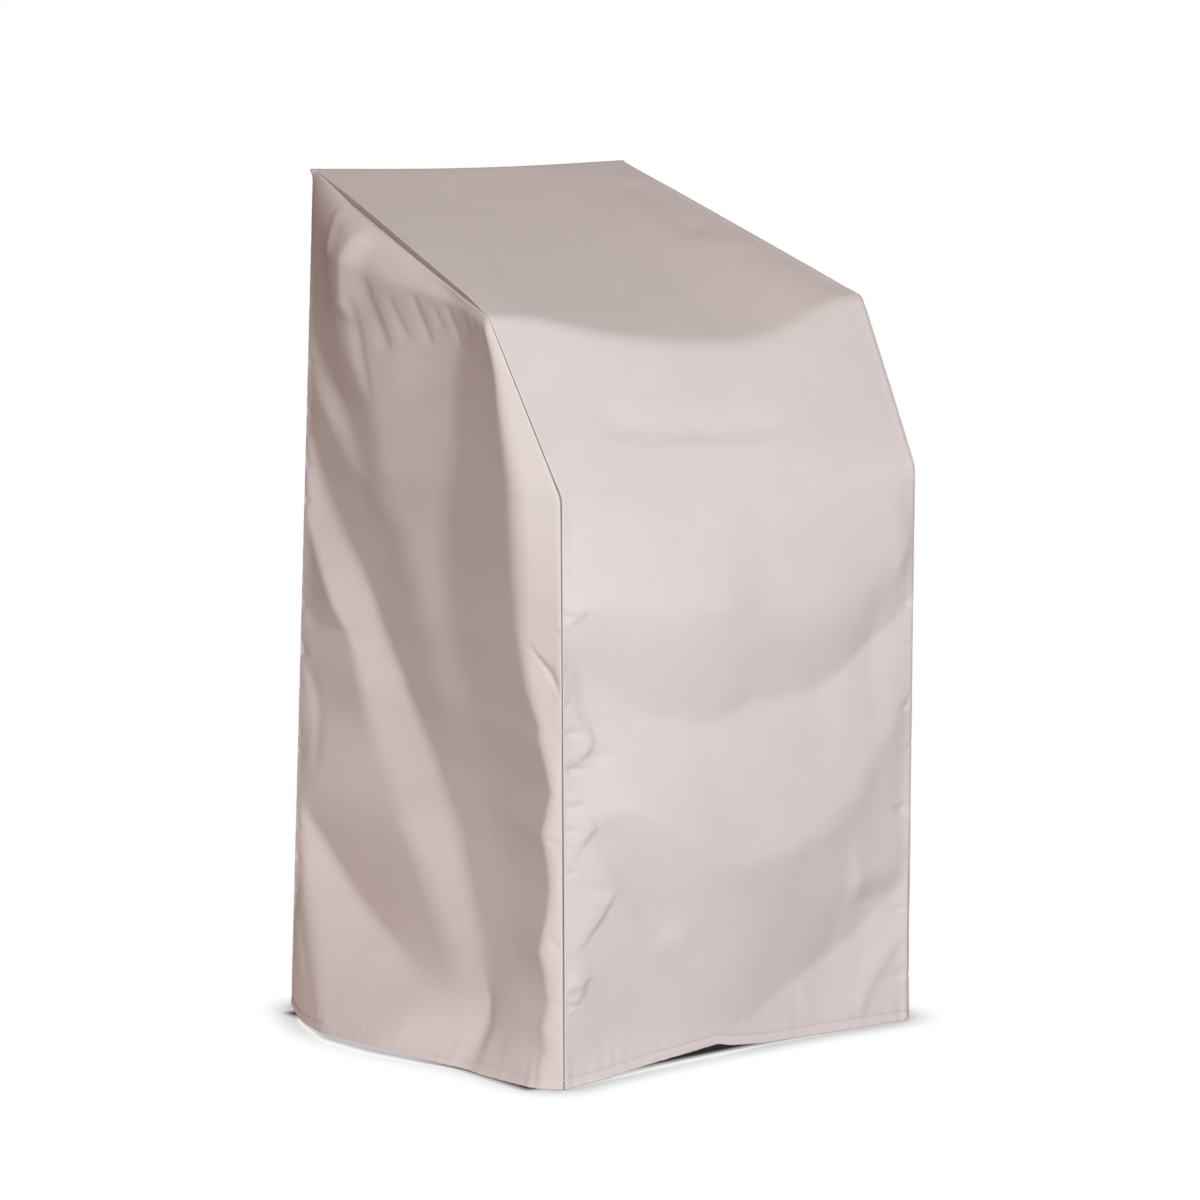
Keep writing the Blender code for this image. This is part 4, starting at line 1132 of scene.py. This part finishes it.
# %% Weave group
def weave_group():
    """Plain weave: where a checker of yarns is even the warp lies on top, else the weft.

    Each yarn's height is |sin| across it. `Dye` is slow noise for uneven colour.
    """
    tree, given, made = group_tree(
        "plain weave",
        [("Cloth", "NodeSocketVector"), ("Yarn", "NodeSocketFloat")],
        ["Height", "Dye"],
    )
    split = new_node(tree, "ShaderNodeSeparateXYZ", Vector=given.outputs["Cloth"])
    across, along = (
        math_node(tree, "DIVIDE", split.outputs[axis], given.outputs["Yarn"]) for axis in "XY"
    )
    odd = math_node(tree, "ADD", math_node(tree, "FLOOR", across), math_node(tree, "FLOOR", along))
    over = math_node(tree, "FLOORED_MODULO", odd, 2.0)
    under = math_node(tree, "SUBTRACT", 1.0, over)
    warp, weft = (
        math_node(tree, "ABSOLUTE", math_node(tree, "SINE", math_node(tree, "MULTIPLY", way, np.pi)))
        for way in (across, along)
    )
    height = math_node(tree, "MULTIPLY_ADD", warp, over, math_node(tree, "MULTIPLY", weft, under))
    noise = new_node(tree, "ShaderNodeTexNoise", Vector=given.outputs["Cloth"],
                     Scale=9.0, Detail=5.0, Roughness=0.62)
    fill(tree, made, Height=height, Dye=noise.outputs["Fac"])
    return tree


WEAVE = weave_group()
print("weave group:", len(WEAVE.nodes), "nodes")

# %% [markdown]
# ## Stitches
# Two rows of stitches show: a topstitch on the centre strip beside every seam, and the
# row that holds the turned hem. A row is a mask of dashes. It needs how far a point is
# from the row and how far along the row it lies, and both come from UV maps in metres.

# %% Stitch group
DASH_SOFTNESS = 0.12


def stitch_group():
    """Dashes: near the row across it, and in the first share of each pitch along it."""
    labels = ("From Row", "Along", "Pitch", "Share", "Half Width")
    tree, given, made = group_tree(
        "stitch row", [(label, "NodeSocketFloat") for label in labels], ["Mask"]
    )
    off = math_node(tree, "ABSOLUTE", given.outputs["From Row"])
    near = soft_step(tree, off, given.outputs["Half Width"], 0.0)
    turn = math_node(tree, "DIVIDE", given.outputs["Along"], given.outputs["Pitch"])
    phase = math_node(tree, "FRACT", turn)
    centred = math_node(tree, "ABSOLUTE", math_node(tree, "SUBTRACT", phase, 0.5))
    half = math_node(tree, "MULTIPLY", given.outputs["Share"], 0.5)
    dash = soft_step(tree, centred, half, math_node(tree, "SUBTRACT", half, DASH_SOFTNESS))
    fill(tree, made, Mask=math_node(tree, "MULTIPLY", near, dash))
    return tree


STITCH = stitch_group()
print("stitch group:", len(STITCH.nodes), "nodes")

# %% [markdown]
# ## Cloth materials
# Both UV maps feed the materials: the place on the cloth for the weave, and the
# distances from the edges for the stitch rows, the marks of wear and the painted shade
# of the seam line.

# %% UV maps and stitch rows
STITCH_SIZES = dict(Pitch=0.0036, Share=0.72, Half_Width=0.0007)


def use_group(tree, group, **inputs):
    """A node group put to use, with its inputs set or linked."""
    node = tree.nodes.new("ShaderNodeGroup")
    node.node_tree = group
    return fill(tree, node, **inputs)


def uv_place(tree, name):
    """A UV map's vector, and its two coordinates."""
    source = tree.nodes.new("ShaderNodeUVMap")
    source.uv_map = name
    split = new_node(tree, "ShaderNodeSeparateXYZ", Vector=source.outputs["UV"])
    return source.outputs["UV"], split.outputs["X"], split.outputs["Y"]


def stitch_row(tree, distance, row_at, along):
    """The mask of a stitch row that lies at `row_at` on a distance from an edge."""
    off = math_node(tree, "SUBTRACT", distance, row_at)
    return use_group(tree, STITCH, From_Row=off, Along=along, **STITCH_SIZES).outputs["Mask"]


print("stitches to the metre:", round(1.0 / STITCH_SIZES["Pitch"]))

# %% [markdown]
# The outer face is a matt pinkish beige, darkened by painted shade in the seam line and
# a little paler where seam edges and the hem have rubbed. The inner face is the brown
# coating.
# One function makes both, so the weave and the stitches show on either side.

# %% Cloth material
YARN = 0.00055
SEAM_STITCH_INSET = 0.0044
HEM_STITCH_HEIGHT = 0.0110
# Distances from a seam or hem where a mark has faded out, and where it is full.
# The seam line is painted shade: the seam's groove is drawn darker in the colour.
SEAM_SHADE_REACH = (0.0014, 0.0004)
RUBBED = (0.0090, 0.001)
# The tone each mark gives: how much it changes, and what it starts from.
DYE_TONE = (0.10, 0.95)
WEAVE_TONE = (0.06, 0.96)
# Painted shade: the seam line is darkened to 0.4 of the colour.
SEAM_SHADE_TONE = (-0.60, 1.0)
RUBBED_CHANGE = 0.03
THREAD_SHADE = 0.86
STITCH_HEIGHT = 0.0004
WEAVE_HEIGHT = 0.00005


def cloth_material(name, colour, roughness, sheen):
    """Woven cloth: its colour times a tone from dye, rubbing, weave and painted seam shade."""
    material = bpy.data.materials.new(name)
    material.use_nodes = True
    tree = material.node_tree
    cloth, across, along = uv_place(tree, "cloth")
    _, inset, above = uv_place(tree, "edges")
    weave = use_group(tree, WEAVE, Cloth=cloth, Yarn=YARN)
    seam_row = stitch_row(tree, inset, SEAM_STITCH_INSET, along)
    hem_row = stitch_row(tree, above, HEM_STITCH_HEIGHT, across)
    stitches = math_node(tree, "MAXIMUM", seam_row, hem_row)
    from_seam = math_node(tree, "ABSOLUTE", inset)
    # Painted shade: the cloth is darkened in the seam line, where the groove's shade falls.
    line = soft_step(tree, from_seam, *SEAM_SHADE_REACH)
    rubbed = soft_step(tree, math_node(tree, "MINIMUM", from_seam, above), *RUBBED)
    tone = math_node(tree, "MULTIPLY_ADD", weave.outputs["Dye"], *DYE_TONE)
    tone = math_node(tree, "MULTIPLY_ADD", rubbed, RUBBED_CHANGE, tone)
    woven = math_node(tree, "MULTIPLY_ADD", weave.outputs["Height"], *WEAVE_TONE)
    in_seam_shade = math_node(tree, "MULTIPLY_ADD", line, *SEAM_SHADE_TONE)
    tone = math_node(tree, "MULTIPLY", math_node(tree, "MULTIPLY", tone, woven), in_seam_shade)
    toned = tree.nodes.new("ShaderNodeVectorMath")
    toned.operation = "SCALE"
    toned.inputs[0].default_value = colour
    fill(tree, toned, Scale=tone)
    mixed = new_node(tree, "ShaderNodeMix", Factor=stitches)
    mixed.data_type = "RGBA"
    feed(tree, mixed.inputs[6], toned.outputs[0])
    feed(tree, mixed.inputs[7], (*(THREAD_SHADE * channel for channel in colour), 1.0))
    raised = math_node(tree, "MULTIPLY", weave.outputs["Height"], WEAVE_HEIGHT)
    raised = math_node(tree, "MULTIPLY_ADD", stitches, STITCH_HEIGHT, raised)
    bump = new_node(tree, "ShaderNodeBump", Strength=0.6, Distance=1.0, Height=raised)
    fill(
        tree, tree.nodes["Principled BSDF"], Base_Color=mixed.outputs[2],
        Normal=bump.outputs["Normal"], Roughness=roughness, Sheen_Weight=sheen,
        Sheen_Roughness=0.5, Specular_IOR_Level=0.3,
    )
    return material


outside = cloth_material("cover cloth", (0.655, 0.565, 0.54), roughness=0.78, sheen=0.05)
inside = cloth_material("cover cloth coating", (0.40, 0.33, 0.30), roughness=0.6, sheen=0.0)
print("cloth materials:", outside.name, "and", inside.name)

# %% [markdown]
# ## Pieces and their frame
# Each cloth takes the place of its CAD solid, rides the one body there is, and has the
# same slot, so one swap recolours the whole cover.

# %% Fit the pieces to the frame
for piece, node in ((strip, "centre_strip"), (left, "side_panel_left"), (right, "side_panel_right")):
    piece.data.materials.append(outside)
    piece.data.materials.append(inside)
    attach(piece, "root")
    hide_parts(node)
print("three pieces in slot cover_cloth")

# %% [markdown]
# ## Floor
# A white floor glows a little near the cover, which lifts the shade low on its left
# side, as a paper sweep does. Seen directly it is plain white, with painted contact shade
# round the hem and a painted shadow on the ground under the cover. Only rays from the
# camera see that white and its painted shade.

# %% Floor material
FLOOR_GLOW = 0.53
FLOOR_GLOW_CENTRE = (-0.80, 0.25, 0.0)
FLOOR_GLOW_NEAR = 0.2
FLOOR_GLOW_FAR = 1.1
FLOOR_GLOW_COLOUR = (1.04, 1.0, 0.97, 1.0)
# Painted contact shade: ambient occlusion within this reach darkens the camera's white.
CONTACT_SHADE_REACH = 0.05
# The middle and half width of the painted shadow on the ground under the cover, in x and in y.
SHADOW_UNDER_COVER = ((-0.016, 0.334), (0.013, 0.284))
SHADOW_UNDER_COVER_SOFTNESS = 0.012
SHADOW_UNDER_COVER_CHANGE = -0.97


def white_to_camera(tree, lit, white, output):
    """Send `white` to the camera's rays, and `lit` to all the others."""
    seen = tree.nodes.new("ShaderNodeLightPath")
    mix = new_node(tree, "ShaderNodeMixShader", Fac=seen.outputs["Is Camera Ray"])
    feed(tree, mix.inputs[1], lit)
    feed(tree, mix.inputs[2], white)
    feed(tree, output, mix.outputs["Shader"])


def floor_material():
    """A grey glowing floor for the light, and a white one with painted shade for the camera."""
    material = bpy.data.materials.new("studio floor")
    material.use_nodes = True
    tree = material.node_tree
    place = tree.nodes.new("ShaderNodeTexCoord").outputs["Object"]
    away = tree.nodes.new("ShaderNodeVectorMath")
    away.operation = "DISTANCE"
    feed(tree, away.inputs[0], place)
    feed(tree, away.inputs[1], FLOOR_GLOW_CENTRE)
    glow = soft_step(
        tree, away.outputs["Value"], FLOOR_GLOW_NEAR, FLOOR_GLOW_FAR, FLOOR_GLOW, 0.0
    )
    shader = fill(
        tree, tree.nodes["Principled BSDF"], Base_Color=(0.50, 0.50, 0.50, 1.0),
        Roughness=0.8, Emission_Color=FLOOR_GLOW_COLOUR, Emission_Strength=glow,
    )
    # Painted contact shade: the camera's white takes the ambient occlusion as its colour.
    shade = new_node(tree, "ShaderNodeAmbientOcclusion", Distance=CONTACT_SHADE_REACH)
    spot = new_node(tree, "ShaderNodeSeparateXYZ", Vector=place)
    # Painted shadow: a soft box on the ground under the cover is darkened.
    inner = []
    for axis, (middle, half) in zip("XY", SHADOW_UNDER_COVER):
        off = math_node(tree, "ABSOLUTE", math_node(tree, "SUBTRACT", spot.outputs[axis], middle))
        inner.append(soft_step(tree, off, half + SHADOW_UNDER_COVER_SOFTNESS, half - SHADOW_UNDER_COVER_SOFTNESS))
    under_cover_shadow = math_node(tree, "MULTIPLY", *inner)
    shadowed_white = math_node(tree, "MULTIPLY_ADD", under_cover_shadow, SHADOW_UNDER_COVER_CHANGE, 1.0)
    white = new_node(tree, "ShaderNodeEmission", Strength=shadowed_white, Color=shade.outputs["Color"])
    output = tree.nodes["Material Output"].inputs["Surface"]
    white_to_camera(tree, shader.outputs["BSDF"], white.outputs["Emission"], output)
    return material


print("ground darkened under the cover, m:", [round(2.0 * half, 3) for _, half in SHADOW_UNDER_COVER])

# %% [markdown]
# The floor is one square, half a millimetre below the box of the part, so that the hem
# never cuts it.

# %% Floor
FLOOR_SIZE = 14.0
FLOOR_GAP = 0.0005


def add_floor():
    """One square of the floor material, centred under the cover."""
    size, level = FLOOR_SIZE, cad_bounds[0][2] - FLOOR_GAP
    corners = [(-size, -size, level), (size, -size, level), (size, size, level), (-size, size, level)]
    mesh = bpy.data.meshes.new("floor")
    mesh.from_pydata(corners, [], [(0, 1, 2, 3)])
    mesh.materials.append(floor_material())
    floor = bpy.data.objects.new("floor", mesh)
    bpy.context.collection.objects.link(floor)
    return floor


floor = add_floor()
print("floor at z =", round(floor.data.vertices[0].co.z, 4))

# %% [markdown]
# ## Lights
# A large key light stands in front on the left, and a weaker one behind on the right,
# which keeps the far side from going flat. Large lights give the soft-edged shade that
# shows folds in matt cloth.

# %% Lights
LIGHT_AIM_HEIGHT = 0.6
LIGHT_DISTANCE = 5.6


def add_area_light(name, azimuth, elevation, size, power, colour):
    """A square light on a sphere about the cover, turned to its middle. Angles in degrees."""
    data = bpy.data.lights.new(name, "AREA")
    data.shape = "SQUARE"
    data.size = size
    data.energy = power
    data.color = colour
    light = bpy.data.objects.new(name, data)
    a, e = np.radians(azimuth), np.radians(elevation)
    away = np.array((np.sin(a) * np.cos(e), -np.cos(a) * np.cos(e), np.sin(e)))
    light.location = away * LIGHT_DISTANCE + np.array((0.0, 0.0, LIGHT_AIM_HEIGHT))
    light.rotation_euler = (np.pi / 2.0 - e, 0.0, a)
    bpy.context.collection.objects.link(light)


add_area_light("key", -24.0, 24.0, size=2.6, power=300.0, colour=(0.900, 1.0, 1.035))
add_area_light("back fill", 128.0, 16.0, size=3.2, power=95.0, colour=(1.0, 0.98, 0.96))
print("lights:", [light.name for light in bpy.data.lights])

# %% [markdown]
# The world is a warm dome that fills the shade. It is brighter low down and on the left,
# as in a room with pale walls, and like the floor it shows plain white to the camera.

# %% World
LOW_SKY = (0.10, (1.48, 1.0, 0.84, 1.0))
HIGH_SKY = (0.65, (0.71, 0.40, 0.34, 1.0))
SKY_LEFT_STRENGTH = 0.36
SKY_RIGHT_STRENGTH = 0.06


def add_world():
    """A dome whose colour changes with height, and its strength from left to right."""
    world = bpy.data.worlds.new("studio")
    world.use_nodes = True
    tree = world.node_tree
    where = tree.nodes.new("ShaderNodeTexCoord")
    split = new_node(tree, "ShaderNodeSeparateXYZ", Vector=where.outputs["Generated"])
    ramp = new_node(tree, "ShaderNodeValToRGB", Fac=split.outputs["Z"])
    for element, (position, colour) in zip(ramp.color_ramp.elements, (LOW_SKY, HIGH_SKY)):
        element.position = position
        element.color = colour
    side = new_node(
        tree, "ShaderNodeMapRange", Value=split.outputs["X"], From_Min=-1.0, From_Max=1.0,
        To_Min=SKY_LEFT_STRENGTH, To_Max=SKY_RIGHT_STRENGTH,
    )
    dome = fill(tree, tree.nodes["Background"], Color=ramp.outputs["Color"],
                Strength=side.outputs["Result"])
    white = new_node(tree, "ShaderNodeBackground", Color=(1.0, 1.0, 1.0, 1.0))
    output = tree.nodes["World Output"].inputs["Surface"]
    white_to_camera(tree, dome.outputs["Background"], white.outputs["Background"], output)
    bpy.context.scene.world = world
    return world


world = add_world()
bpy.context.scene.view_settings.view_transform = "Standard"
print("world:", world.name, "with", len(world.node_tree.nodes), "nodes")
